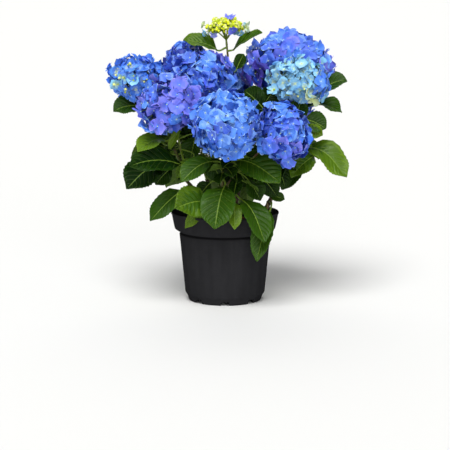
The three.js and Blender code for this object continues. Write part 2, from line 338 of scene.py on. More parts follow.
@cache
def limb_points():
    """Points all along the stems and boughs, that shoots and leaf stalks can spring from."""
    paths = [limb(stem)[0] for stem in STEMS] + [whole_bough(short(b))[0] for b in BOUGHS]
    return np.concatenate([path[3:-3] for path in paths])


class Blade:
    """A leaf blade's midrib, its directions across and up, and its greatest half width."""

    def __init__(self, midrib, across, half):
        self.midrib, self.half = midrib, half
        self.forward = tangents(midrib)
        self.across = square_to(across, self.forward)
        self.up = np.cross(self.across, self.forward)

    def at(self, share):
        """The points, and the directions across and up, at shares of the blade's length."""
        return along(self.midrib, share), along(self.across, share), along(self.up, share)

    def spots(self):
        """Points spread over the blade."""
        share, side = np.meshgrid(np.linspace(0, 1, 9), np.linspace(-1, 1, 7), indexing="ij")
        points, across, _ = self.at(share)
        return (points + across * (side * self.half * leaf_outline(share))[..., None]).reshape(-1, 3)


def lie_of(tris, tip):
    """A blade's middle, the direction from there to its tip, and the one that it is broad in."""
    weight = np.linalg.norm(np.cross(tris[:, 1] - tris[:, 0], tris[:, 2] - tris[:, 0]), axis=1)
    centres = tris.mean(axis=1)
    centre = np.average(centres, axis=0, weights=weight)
    long = unit(tip - centre)
    offset = centres - centre
    offset = offset - np.outer(offset @ long, long)
    return centre, long, np.linalg.eigh(np.cov(offset.T, aweights=weight))[1][:, -1]


STALK_SHARE = 0.4  # a part of a leaf is its stalk where it is narrower than this share of the blade
RIB_SHARE = 0.35  # how much of a blade's half width is read as its midrib
BLADE_SECTIONS = 40  # cuts across a blade
MIDRIB_STEPS = 41  # points along its midrib
TIP_WEIGHT = 6.0  # how much more than a cut the tip counts for the midrib


def broad_part(tris, axis):
    """The triangles of a leaf's blade, without the thin stalk that leads to it along an axis."""
    level = tris.mean(axis=1) @ axis
    levels = np.linspace(level.min(), level.max(), 26)[1:-1]
    breadth = np.array([from_middle(cut(tris, axis, z)).max() for z in levels])
    return tris[level > levels[breadth > STALK_SHARE * breadth.max()][0]]


def margins(section, wide):
    """The two ends of a cut across a blade that is broad in the direction wide."""
    offset = section @ wide
    return section[np.argmin(offset)], section[np.argmax(offset)]


def rib_and_half(section, wide):
    """Where the midrib is in a cut across a blade, and half the blade's width there."""
    left, right = margins(section, wide)
    half = (right - left) @ wide / 2
    inner = np.abs((section - (left + right) / 2) @ wide) < RIB_SHARE * half
    return (section[inner].mean(axis=0) if inner.any() else (left + right) / 2), half


def measured_blade(node, broader=1.0):
    """The blade of a leaf node: cuts square to its long axis give its midrib and width."""
    tris = triangles(node)
    corners = tris.reshape(-1, 3)
    gap = np.linalg.norm(corners[:, None] - limb_points()[None], axis=2).min(axis=1)
    start = corners[np.argmin(gap)]
    tip = corners[np.argmax(np.linalg.norm(corners - start, axis=1))]
    centre, long, wide = lie_of(broad_part(tris, unit(tip - start)), tip)
    first, last = (corners @ long).min(), (corners @ long).max()
    levels = np.linspace(first, last, BLADE_SECTIONS + 2)[1:-1]
    sections = [cut(tris, long, level) for level in levels]
    ribs, halves = map(np.array, zip(*(rib_and_half(section, wide) for section in sections)))
    blade, full = halves > 0.3 * halves.max(), halves > 0.6 * halves.max()
    foot = levels[blade][0] - 0.03 * (last - first)
    marks = np.concatenate([ribs[blade], [tip]])
    weights = np.append(np.ones(len(marks) - 1), TIP_WEIGHT)
    places = np.linspace(foot, last, MIDRIB_STEPS)
    midrib = fitted(np.append(levels[blade], last), marks, places, w=weights)
    outward = unit(centre * [1, 1, 0])
    wide = wide * np.sign(np.cross(wide, long) @ (UP + 0.6 * outward))
    ends = [margins(sections[k], wide) for k in np.flatnonzero(full)]
    across = unit(np.mean([unit(right - left) for left, right in ends], axis=0))
    return Blade(midrib, np.tile(across, (len(midrib), 1)), halves.max() * broader)


def grown_blade(foot, tip, half, arch, roll, facing=UP):
    """A blade on an arched line from its foot to its tip. Its upper side faces one way as nearly as
    it can, but for a roll about its midrib."""
    rise = UP * arch
    midrib = bezier(foot, foot + (tip - foot) * 0.33 + rise, foot + (tip - foot) * 0.7 + rise, tip, 25)
    forward = tangents(midrib)
    across = unit(np.cross(forward, facing))
    across = turned_about(across, forward, np.full(len(midrib), math.radians(roll)))
    return Blade(midrib, across, half)


# ------------------------------------------------------------------ gathering small shapes


class Pile:
    """Many small shapes that become one mesh. A face is four corner numbers, the last -1 for a
    triangle, and its finish is its place in the piece's list of materials."""

    def __init__(self):
        self.points, self.faces, self.finishes, self.maps, self.size = [], [], [], [], 0

    def add(self, points, faces, finish, places=None):
        points = np.asarray(points, float).reshape(-1, 3)
        faces = np.asarray(faces).reshape(-1, 4)
        self.points.append(points)
        self.faces.append(np.where(faces < 0, -1, faces + self.size))
        self.finishes.append(np.broadcast_to(finish, (len(faces),)))
        self.maps.append(np.zeros((len(points), 2)) if places is None else places.reshape(-1, 2))
        self.size += len(points)

    def piece(self, name, materials):
        """The gathered shapes as one object."""
        points, faces = np.concatenate(self.points), np.concatenate(self.faces)
        corners = faces[faces >= 0]
        totals = (faces >= 0).sum(axis=1)
        mesh = bpy.data.meshes.new(name)
        mesh.vertices.add(len(points))
        mesh.vertices.foreach_set("co", points.astype(np.float32).ravel())
        mesh.loops.add(len(corners))
        mesh.loops.foreach_set("vertex_index", corners.astype(np.int32))
        mesh.polygons.add(len(faces))
        starts = np.concatenate([[0], np.cumsum(totals)[:-1]])
        mesh.polygons.foreach_set("loop_start", starts.astype(np.int32))
        mesh.polygons.foreach_set("use_smooth", np.ones(len(faces), bool))
        for material in materials:
            mesh.materials.append(material)
        finishes = np.concatenate(self.finishes).astype(np.int32)
        mesh.polygons.foreach_set("material_index", finishes)
        layer = mesh.uv_layers.new(name="Surface")
        layer.data.foreach_set("uv", np.concatenate(self.maps)[corners].astype(np.float32).ravel())
        mesh.update(calc_edges=True)
        obj = bpy.data.objects.new(name, mesh)
        bpy.context.scene.collection.objects.link(obj)
        return obj


def grid_faces(rows, columns):
    """The faces of a grid of points, rows by columns, whose upper side is across times along."""
    corner = np.arange(rows * columns).reshape(rows, columns)
    sides = [corner[:-1, :-1], corner[:-1, 1:], corner[1:, 1:], corner[1:, :-1]]
    return np.stack(sides, axis=-1).reshape(-1, 4)


def ring_faces(rings, sides, downward=False):
    """The faces of a closed tube: rings of points one after another, then the two end points."""
    here = np.arange(sides)
    beside = (here + 1) % sides
    if downward:
        here, beside = beside, here
    last = (rings - 1) * sides
    first_end, last_end = np.full(sides, rings * sides), np.full(sides, rings * sides + 1)
    none = np.full(sides, -1)
    faces = [(beside, here, first_end, none), (last + here, last + beside, last_end, none)]
    for start in range(0, last, sides):
        above = start + sides
        faces.insert(-2, (start + here, start + beside, above + beside, above + here))
    return np.concatenate([np.stack(corners, axis=1) for corners in faces])


def tube(pile, path, radii, sides, finish):
    """A closed round stalk along a path."""
    side = facing_frame(tangents(path)[0])[0]
    turn = np.arange(sides) * TURN / sides
    rings = []
    for point, ahead, radius in zip(path, tangents(path), radii):
        side = square_to(side, ahead)
        around = np.outer(np.cos(turn), side) + np.outer(np.sin(turn), np.cross(ahead, side))
        rings.append(point + radius * around)
    points = np.concatenate([*rings, path[:1], path[-1:]])
    pile.add(points, ring_faces(len(path), sides), finish)


@cache
def bead_shape():
    """The points and faces of a small ball, from its top down."""
    sides, rings = 8, 3
    turn = np.arange(sides) * TURN / sides
    points = []
    for tilt in np.arange(1, rings + 1) * math.pi / (rings + 1):
        wide, level = math.sin(tilt), math.cos(tilt)
        points += [(wide * math.cos(t), wide * math.sin(t), level) for t in turn]
    return np.array(points + [(0, 0, 1), (0, 0, -1)]), ring_faces(rings, sides, downward=True)


def copies(faces, size, count):
    """The faces of a shape of so many points repeated, for points laid out copy after copy."""
    shift = np.arange(count)[:, None, None] * size
    return np.where(faces[None] < 0, -1, faces[None] + shift).reshape(-1, 4)


def beads(pile, places, axes, radii, finish, stretch=1.0):
    """Small balls at places, stretched along their axes."""
    ball, faces = bead_shape()
    first, second = facing_frame(axes)
    x, y, z = (ball[None, :, k, None] for k in range(3))
    offset = x * first[:, None] + y * second[:, None] + stretch * z * axes[:, None]
    points = places[:, None] + np.asarray(radii)[:, None, None] * offset
    pile.add(points, copies(faces, len(ball), len(places)), np.repeat(finish, len(faces)))


# ------------------------------------------------------------------ shaders


class Wire:
    """A shader socket. Arithmetic on it adds the Math nodes that work it out."""

    def __init__(self, finish, socket):
        self.finish, self.socket = finish, socket

    def _with(self, operation, *values):
        sockets = dict(enumerate(values))
        return self.finish.node("ShaderNodeMath", {"operation": operation}, sockets)[0]

    def __add__(self, other):
        return self._with("ADD", self, other)

    def __sub__(self, other):
        return self._with("SUBTRACT", self, other)

    def __rsub__(self, other):
        return self._with("SUBTRACT", other, self)

    def __mul__(self, other):
        return self._with("MULTIPLY", self, other)

    __radd__, __rmul__ = __add__, __mul__


class Node:
    """A node whose outputs are read by name or number, as wires."""

    def __init__(self, finish, node):
        self.finish, self.node = finish, node

    def __getitem__(self, key):
        return Wire(self.finish, self.node.outputs[key])


class Finish:
    """A material under way, with one method that adds any node."""

    def __init__(self, name):
        self.material = bpy.data.materials.new(name)
        self.material.use_nodes = True
        self.tree = self.material.node_tree
        self.tree.nodes.clear()

    def node(self, kind, settings=None, sockets=None):
        made = self.tree.nodes.new(kind)
        settings = dict(settings or {})
        stops = settings.pop("stops", None)
        for key, value in settings.items():
            setattr(made, key, value)
        if stops:
            ramp = made.color_ramp.elements
            while len(ramp) < len(stops):
                ramp.new(0.5)
            for element, (place, colour) in zip(ramp, stops):
                element.position, element.color = place, (*colour, 1.0)
        for key, value in (sockets or {}).items():
            if isinstance(value, Wire):
                self.tree.links.new(value.socket, made.inputs[key])
            elif isinstance(value, tuple) and made.inputs[key].type == "RGBA":
                made.inputs[key].default_value = (*value[:3], 1.0)
            else:
                made.inputs[key].default_value = value
        return Node(self, made)

    def object_point(self, scale=(1.0, 1.0, 1.0)):
        """Object coordinates, stretched."""
        at = self.node("ShaderNodeTexCoord")["Object"]
        return self.node("ShaderNodeMapping", None, {"Vector": at, "Scale": scale})["Vector"]

    def noise(self, at, scale, detail=3.0, roughness=0.55):
        sockets = {"Vector": at, "Scale": scale, "Detail": detail, "Roughness": roughness}
        return self.node("ShaderNodeTexNoise", None, sockets)[0]

    def clouds(self, scale, detail=3.0, roughness=0.55):
        """Noise in the object's own space. A scale of three numbers draws it out into streaks."""
        stretch, scale = (scale, 1.0) if isinstance(scale, tuple) else ((1.0, 1.0, 1.0), scale)
        return self.noise(self.object_point(stretch), scale, detail, roughness)

    def ramp(self, value, *stops):
        """A colour read off stops, each a place from 0 to 1 and a colour."""
        return self.node("ShaderNodeValToRGB", {"stops": stops}, {0: value})["Color"]

    def blend(self, share, a, b):
        """Colour a where the share is 0, colour b where it is 1."""
        sockets = {0: share, 6: a, 7: b}
        return self.node("ShaderNodeMix", {"data_type": "RGBA"}, sockets)[2]

    def bump(self, height, strength, distance):
        sockets = {"Height": height, "Strength": strength, "Distance": distance}
        return self.node("ShaderNodeBump", None, sockets)["Normal"]

    def done(self, **sockets):
        """Ends the material with a Principled shader. Underscores in names stand for spaces."""
        named = {key.replace("_", " "): value for key, value in sockets.items()}
        colour = named.get("Base Color")
        if isinstance(colour, tuple):
            self.material.diffuse_color = (*colour[:3], 1.0)
        shader = self.node("ShaderNodeBsdfPrincipled", None, named)[0]
        self.node("ShaderNodeOutputMaterial", None, {"Surface": shader})
        return self.material


def mixed(a, b, share):
    """A colour part of the way from a to b."""
    return tuple(x + (y - x) * share for x, y in zip(a, b))


def scaled(colour, by):
    return tuple(min(1.0, c * by) for c in colour)


WHITE, BLACK = (1.0, 1.0, 1.0), (0.0, 0.0, 0.0)
GROOVE_SHADE = 3.8 * MM  # how far the painted shade along the pot's groove reaches from its middle


def plastic_finish(groove):
    """Moulded matt plastic with faint upright flow marks and dusty wear, and painted shade along a
    level groove.
    """
    f = Finish("pot_plastic")
    colour = chosen("pot")
    flow, dust, grain = f.clouds((60.0, 60.0, 4.0)), f.clouds(38.0, 6.0, 0.7), f.clouds(900.0, 2.0)
    marks = flow * 0.6 + dust * 0.4
    shade = f.ramp(marks, (0.36, scaled(colour, 0.87)), (0.66, scaled(colour, 1.13)))
    at = f.node("ShaderNodeTexCoord")["Object"]
    # painted shade: the plastic goes dark in a band round the groove under the pot's band, where its
    # shadow falls
    above = f.node("ShaderNodeSeparateXYZ", None, {0: at})["Z"] - groove
    band = above * (0.5 / GROOVE_SHADE) + 0.5
    unshaded = f.ramp(band, (0.1, WHITE), (0.3, BLACK), (0.7, BLACK), (0.9, WHITE))
    shade = f.blend(unshaded, scaled(colour, 0.3), shade)
    relief = f.bump(grain * 0.5 + dust * 0.5, 0.25, 0.6 * MM)
    rough = dust * 0.25 + 0.48
    return f.done(Base_Color=shade, Roughness=rough, Normal=relief, Specular_IOR_Level=0.0)


def compost_finish():
    """Dark moist crumbs and pale fibres."""
    f = Finish("compost")
    moist = chosen("compost")
    crumbs, fibre = f.clouds(210.0, 6.0, 0.7), f.clouds((300.0, 40.0, 90.0), 4.0)
    mixture, pale = crumbs * 0.7 + fibre * 0.3, mixed(moist, linear("#8A6238"), 0.45)
    shade = f.ramp(mixture, (0.35, scaled(moist, 0.45)), (0.55, moist), (0.68, pale))
    return f.done(Base_Color=shade, Roughness=0.93, Normal=f.bump(crumbs, 0.8, 2 * MM))


def chip_finish():
    """Red-brown bark chips with paler broken edges."""
    f = Finish("bark_chip")
    grain, patches = f.clouds((500.0, 120.0, 500.0), 4.0), f.clouds(55.0, 2.0)
    dark, red, pale = linear("#24130B"), linear("#5A2F19"), linear("#8C5A34")
    shade = f.ramp(grain * 0.45 + patches * 0.55, (0.38, dark), (0.52, red), (0.68, pale))
    return f.done(Base_Color=shade, Roughness=0.85, Normal=f.bump(grain, 0.6, 1 * MM))


def bark_finish():
    """Ridged, flaking bark with pale pores."""
    f = Finish("stem_bark")
    bark = chosen("bark")
    ridges, patches = f.clouds((260.0, 260.0, 24.0), 5.0, 0.6), f.clouds(45.0, 3.0)
    at = f.object_point((1.0, 1.0, 0.6))
    pores = f.node("ShaderNodeTexVoronoi", None, {"Vector": at, "Scale": 260.0})[0]
    dark, pale = scaled(bark, 0.4), mixed(bark, linear("#B79C6B"), 0.5)
    shade = f.ramp(ridges * 0.65 + patches * 0.35, (0.36, dark), (0.52, bark), (0.66, pale))
    shade = f.blend(f.ramp(pores, (0.1, WHITE), (0.2, BLACK)), shade, pale)
    return f.done(Base_Color=shade, Roughness=0.78, Normal=f.bump(ridges, 0.7, 1.4 * MM))


def shoot_finish():
    """Green shoots with red-brown patches and flecks."""
    f = Finish("green_shoot")
    stalk, brown = chosen("stalk"), mixed(chosen("bark"), linear("#5B3A22"), 0.5)
    streak, patches = f.clouds((330.0, 330.0, 40.0), 3.0), f.clouds(26.0, 2.0)
    flecks = f.noise(f.object_point((1.0, 1.0, 0.5)), 420.0, 2.0)
    green = f.ramp(streak, (0.35, scaled(stalk, 0.45)), (0.65, scaled(stalk, 0.8)))
    shade = f.blend(f.ramp(patches, (0.4, BLACK), (0.66, WHITE)), green, brown)
    shade = f.blend(f.ramp(flecks, (0.62, BLACK), (0.7, WHITE)), shade, brown)
    return f.done(Base_Color=shade, Roughness=0.5, Normal=f.bump(streak, 0.35, 0.6 * MM))


def lamina_finish(name, colour, roughness=0.32, gloss=0.3):
    """A leaf's surface: one green, with the fine net of small veins as relief."""
    f = Finish(name)
    at = f.node("ShaderNodeTexCoord")["Object"]
    cells = {"Vector": at, "Scale": 420.0}
    net = f.node("ShaderNodeTexVoronoi", {"feature": "DISTANCE_TO_EDGE"}, cells)[0]
    relief = f.bump(net * 0.4 + f.noise(at, 150.0, 2.0), 0.55, 1.6 * MM)
    return f.done(Base_Color=colour, Roughness=roughness, Normal=relief, Specular_IOR_Level=gloss)


def petal_finish(name, colour):
    """A petal's surface: one colour, with fine veins fanning out from its foot as relief."""
    f = Finish(name)
    at = f.node("ShaderNodeTexCoord")["UV"]
    fan = f.node("ShaderNodeMapping", None, {"Vector": at, "Scale": (14.0, 1.6, 1.0)})["Vector"]
    return f.done(
        Base_Color=colour,
        Roughness=0.5,
        Normal=f.bump(f.noise(fan, 1.0), 0.3, 0.6 * MM),
        Specular_IOR_Level=0.4,
        Sheen_Weight=0.05,
        Sheen_Roughness=0.5,
    )


# The parts of a petal that have finishes of their own, from the eye out. The letters are shades
# that petals differ by, and the last is painted shade for petals deep in a head.
PETAL_ZONES = ("eye", "throat", "inner_a", "inner_b", "outer_a", "outer_b", "outer_c", "outer_d")
PETAL_ZONES += ("rim_a", "rim_b", "shade")
EYE, THROAT, INNER, OUTER, RIM_HIGHLIGHT, PAINTED_SHADE = (
    PETAL_ZONES.index(zone) for zone in ("eye", "throat", "inner_a", "outer_a", "rim_a", "shade")
)
PAINTED_SHADE_DEPTHS = (0.14, 0.29, 0.44)  # how much red, green and blue a petal keeps in its painted shade deep in a head

# Each palette's petals, their glow, the colour that some of them turn to, the colour of the painted
# highlight on their rims, which also pales some petals, and how strongly they glow round the eye.
PALETTES = {
    "azure": ("azure", "ice", "royal", "ice", 0.3),
    "royal": ("royal", "ice", "violet", "ice", 0.22),
    "navy": ("navy", "ice", "royal", "ice", 0.2),
    "violet": ("violet", "azure", "royal", "lilac", 0.6),
    "dusk": ("dusk", "royal", "violet", "violet", 0.2),
    # sky serves as painted light on a head's lit side
    "sky": ("azure", "ice", "aqua", "ice", 0.6),
    "dawn": ("azure", "cream", "aqua", "aqua", 0.7),
    "aqua": ("aqua", "cream", "azure", "ice", 0.8),
    "cream": ("cream", "bud", "ice", "ice", 0.5),
    "lilac": ("lilac", "ice", "violet", "ice", 0.5),
}


@cache
def petal_set(palette):
    """The finishes of a palette's florets, in the order of the zones."""
    *names, glowing = PALETTES[palette]
    base, glow, second, rim = map(chosen, names)
    tones = (
        mixed(chosen("bud"), chosen("ice"), 0.35),
        mixed(base, glow, glowing),
        mixed(scaled(base, 0.9), glow, glowing * 0.4),
        mixed(scaled(base, 0.9), glow, glowing * 0.1),
        mixed(base, rim, 0.08),
        mixed(base, second, 0.4),
        scaled(base, 0.8),
        mixed(base, rim, 0.28),
        # the rims' painted highlight, strong and faint
        mixed(base, rim, 0.85),
        mixed(base, rim, 0.45),
        # painted shade for the petals deep in a head
        tuple(c * depth for c, depth in zip(base, PAINTED_SHADE_DEPTHS)),
    )
    return [petal_finish(f"petal_{palette}_{zone}", tone) for zone, tone in zip(PETAL_ZONES, tones)]


LEAF_TONES = 9  # greens from the deepest to the brightest
BRIGHTEST = 4.0  # the tone of the brightest green, where 0 is the deepest
VEIN_DARK, VEIN_BRIGHT, MIDRIB, UNDERSIDE, STALK = range(LEAF_TONES, LEAF_TONES + 5)


@cache
def leaf_set():
    """The finishes of leaves, shared by every leafy piece: the greens, then veins, back and stalk."""
    deep, mid, bright, stalk = map(chosen, ("leaf_deep", "leaf_mid", "leaf_bright", "stalk"))
    finishes = []
    for k in range(LEAF_TONES):
        share = 2 * k / (LEAF_TONES - 1)
        tone = mixed(deep, mid, share) if share < 1 else mixed(mid, bright, share - 1)
        finishes.append(lamina_finish(f"lamina_{k}", tone, gloss=0.06 + 0.022 * k))
    return finishes + [
        lamina_finish("vein_dark", mixed(deep, stalk, 0.16), 0.45),
        lamina_finish("vein_bright", mixed(mid, stalk, 0.3), 0.45),
        lamina_finish("midrib", mixed(mid, stalk, 0.45), 0.45),
        lamina_finish("underside", chosen("underside"), 0.6, 0.15),
        lamina_finish("leaf_stalk", mixed(mid, stalk, 0.6), 0.45),
    ]


# ------------------------------------------------------------------ leaves

HALF_COLUMNS = np.array([0.03, 0.12, 0.25, 0.38, 0.52, 0.66, 0.8, 0.93, 1.0])
COLUMNS = np.concatenate([-HALF_COLUMNS[::-1], HALF_COLUMNS])
SMALL_COLUMNS = np.array([-1.0, -0.86, -0.45, -0.05, 0.05, 0.45, 0.86, 1.0])
SMALL_PAIRS = 6  # side veins on each side of a leaf inside the crown
VEIN_HALF = 0.003  # half the breadth of a side vein, as a share of the leaf's length
VEIN_LEAN = 0.4  # how far forward a side vein reaches on its way to the margin
VEIN_END = 0.85  # how far a side vein runs towards the margin
VEIN_DEPTH, RIB_DEPTH = 0.25 * MM, 0.5 * MM  # how deep the side veins and the midrib are sunk
TOOTHED = 0.15  # no teeth where a blade is narrower than this share of its greatest width
FOLD = 0.26  # rise of the margin for each unit of half width
TONE_RISE = (0.8, 0.6)  # how much brighter a leaf is towards its margin, painted light on its edges, and from foot to tip
CHANCE_TONE = 0.14  # how much brighter or darker one face may be
STALK_RADIUS, THIN_STALK = 1.9 * MM, 1.3 * MM  # of an outer leaf, and of any other


def leaf_outline(share):
    """A leaf's half width at shares of its length: round shoulders and a short drawn-out tip."""
    rest = np.clip(1 - share, 0, 1)
    shape = np.clip(share, 0, 1) ** 0.62 * rest**0.6
    drawn_out = 1 - 0.5 * np.exp(-((rest / 0.12) ** 2))
    return np.maximum(shape * drawn_out / 0.43, 0.02)


@cache
def leaf_rows(pairs, between):
    """A leaf's rows of points: shares of its length, place between side veins, tooth and whether
    the strip of faces that follows is a vein."""
    starts = 0.05 + 0.87 * ((np.arange(pairs) + 0.3) / pairs) ** 0.95
    rows = [(0.0, 0.0, 0, False)]
    for k, start in enumerate(starts):
        end = starts[k + 1] if k + 1 < pairs else 1.0
        rows += [(start - VEIN_HALF, 0.0, 1, True), (start + VEIN_HALF, 0.0, 1, False)]
        for j in range(between):
            place = (j + 1) / (between + 1)
            rows.append((start + (end - start) * place, place, -1 if j % 2 == 0 else 1, False))
    rows.append((1.0, 0.0, 0, False))
    return tuple(np.array(column) for column in zip(*rows))


def lamina_height(blade, rng, quilt, wave, rows, u, v):
    """How high a blade's surface rises over its midrib: folded up along it, bulging between the
    side veins, rippled towards the margin, and sunk along the veins."""
    share, place, _, vein = rows
    t, out = share[:, None], np.abs(u)
    phase = rng.uniform(0, TURN, 3)
    fold = FOLD * blade.half * leaf_outline(v) * out**1.35
    bulge = quilt * sizes().quilting * blade.half * np.sin(math.pi * place)[:, None]
    bulge = bulge * np.minimum(out / 0.15, 1) * (1 - 0.6 * out**4)
    bulge = bulge * (1 + 0.3 * np.sin(25 * out + 40 * t + phase[2]))
    ripple = np.sin(np.where(u < 0, 11.4 * v + phase[0], 10.2 * v + phase[1]))
    ripple = ripple * 1.5 * wave * blade.half * out**2
    veined = (vein | np.roll(vein, 1))[:, None] & (out < 0.95)
    return fold + bulge + ripple - VEIN_DEPTH * veined - RIB_DEPTH * (out < 0.06)


def add_blade(pile, blade, rng, tone, fine=True, quilt=1.0, wave=0.05):
    """A thin closed leaf blade with sunken veins, quilting between them and a toothed margin.
    Its tone runs from 0, deep green, to BRIGHTEST, and rises towards the margin, where it is painted
    light, and towards the tip."""
    columns = COLUMNS if fine else SMALL_COLUMNS
    leaf = leaf_rows(sizes().vein_pairs, 3) if fine else leaf_rows(SMALL_PAIRS, 1)
    share, _, tooth, vein = leaf
    u, t = columns[None, :], share[:, None]
    v = t + VEIN_LEAN * np.abs(u) ** 1.1 * 4 * t * (1 - t) * (1 - 0.4 * t)
    half = blade.half * leaf_outline(v)
    bite = sizes().tooth * tooth[:, None] * (np.abs(u) == 1) * (half > TOOTHED * blade.half)
    height = lamina_height(blade, rng, quilt, wave, leaf, u, v)
    points, across, up = blade.at(v)
    top = points + across * (u * (1 + bite) * half)[..., None] + up * height[..., None]
    rows, cols = len(share), len(columns)
    faces = grid_faces(rows, cols)

    r, c = np.divmod(np.arange(len(faces)), cols - 1)
    out = np.abs(columns[c] + columns[c + 1]) / 2
    # painted light: the green brightens towards the margin
    green = tone + TONE_RISE[0] * out**2 + TONE_RISE[1] * (share[r] - 0.5)
    green = (green + rng.uniform(-CHANCE_TONE, CHANCE_TONE, len(faces))) / BRIGHTEST
    finish = np.clip(np.round(green * (LEAF_TONES - 1)), 0, LEAF_TONES - 1).astype(int)
    finish[vein[r] & (out < VEIN_END)] = VEIN_BRIGHT if tone > 1.3 else VEIN_DARK
    finish[out == 0] = MIDRIB if tone > 0.5 else VEIN_BRIGHT
    corner = np.arange(rows * cols).reshape(rows, cols)
    rim = np.concatenate([corner[0, :-1], corner[:-1, -1], corner[-1, :0:-1], corner[:0:-1, 0]])
    beside = np.roll(rim, -1)
    wall = np.stack([beside, rim, rim + rows * cols, beside + rows * cols], axis=1)
    faces = np.concatenate([faces, faces[:, ::-1] + rows * cols, wall])
    finish = np.append(finish, [UNDERSIDE] * len(finish) + [LEAF_TONES // 2] * len(wall))
    maps = np.stack(np.broadcast_arrays(u * 0.5 + 0.5, v), axis=-1)
    pile.add([top, top - up * sizes().blade], faces, finish, np.stack([maps, maps]))


def add_leaf_stalk(pile, blade, root, thick, rng):
    """A leaf's stalk from the limb to its blade, which runs on beneath the blade as its midrib."""
    foot, ahead = blade.midrib[0], blade.forward[0]
    span = np.linalg.norm(foot - root)
    lift = UP * span * rng.uniform(0.0, 0.15)
    stalk = bezier(root, root + (foot - root) * 0.35 + lift, foot - ahead * span * 0.4, foot, 9)[:-1]
    keel = blade.midrib[:-2:4] - blade.up[:-2:4] * thick * 0.55
    taper = [np.linspace(1.25, 1, len(stalk)), np.linspace(1, 0.25, len(keel))]
    tube(pile, np.concatenate([stalk, keel]), thick * np.concatenate(taper), 7, STALK)


def nearest_limb(point, below=None):
    """The point on a stem or bough nearest to a point, and no higher than a level if one is given."""
    places = limb_points()
    if below is not None and (places[:, 2] < below).any():
        places = places[places[:, 2] < below]
    return places[np.argmin(np.linalg.norm(places - point, axis=1))]


# Each outer leaf's tone, how strongly it is quilted and how wavy its margin is, and for some how
# broad its blade is beside its node's, as where a flower head cuts the node.
LEAF_LOOKS = {
    "rim_centre": (1.5, 1.8, 0.05),
    "rim_left": (2.1, 1.5, 0.06),
    "rim_small": (2.6, 0.5, 0.04),
    "rim_right": (1.3, 0.6, 0.04),
    "rim_low": (1.4, 0.8, 0.06),
    "inner_front": (1.6, 1.2, 0.05),
    "inner_left": (1.6, 0.8, 0.05),
    "left_large": (0.0, 1.3, 0.08, 0.8),
    "left_lower": (-0.2, 1.2, 0.08, 1.05),
    "left_pale": (2.7, 0.8, 0.05, 0.85),
    "left_drooping": (1.2, 0.7, 0.05),
    "left_upper": (0.7, 1.0, 0.06, 1.35),
    "right_drooping": (2.4, 0.6, 0.09),
    "right_middle": (1.2, 0.9, 0.08),
    "right_upper": (1.0, 1.0, 0.06, 1.35),
    "top_left": (2.2, 0.8, 0.05),
    "top_right": (1.8, 0.8, 0.05),
    "back_left": (0.3, 1.1, 0.06, 0.65),
}
PLAIN_LOOK = (1.2, 1.1, 0.06)
RAISED = {"left_pale": 7 * MM}  # how far a leaf is raised, to lie clear over its neighbours

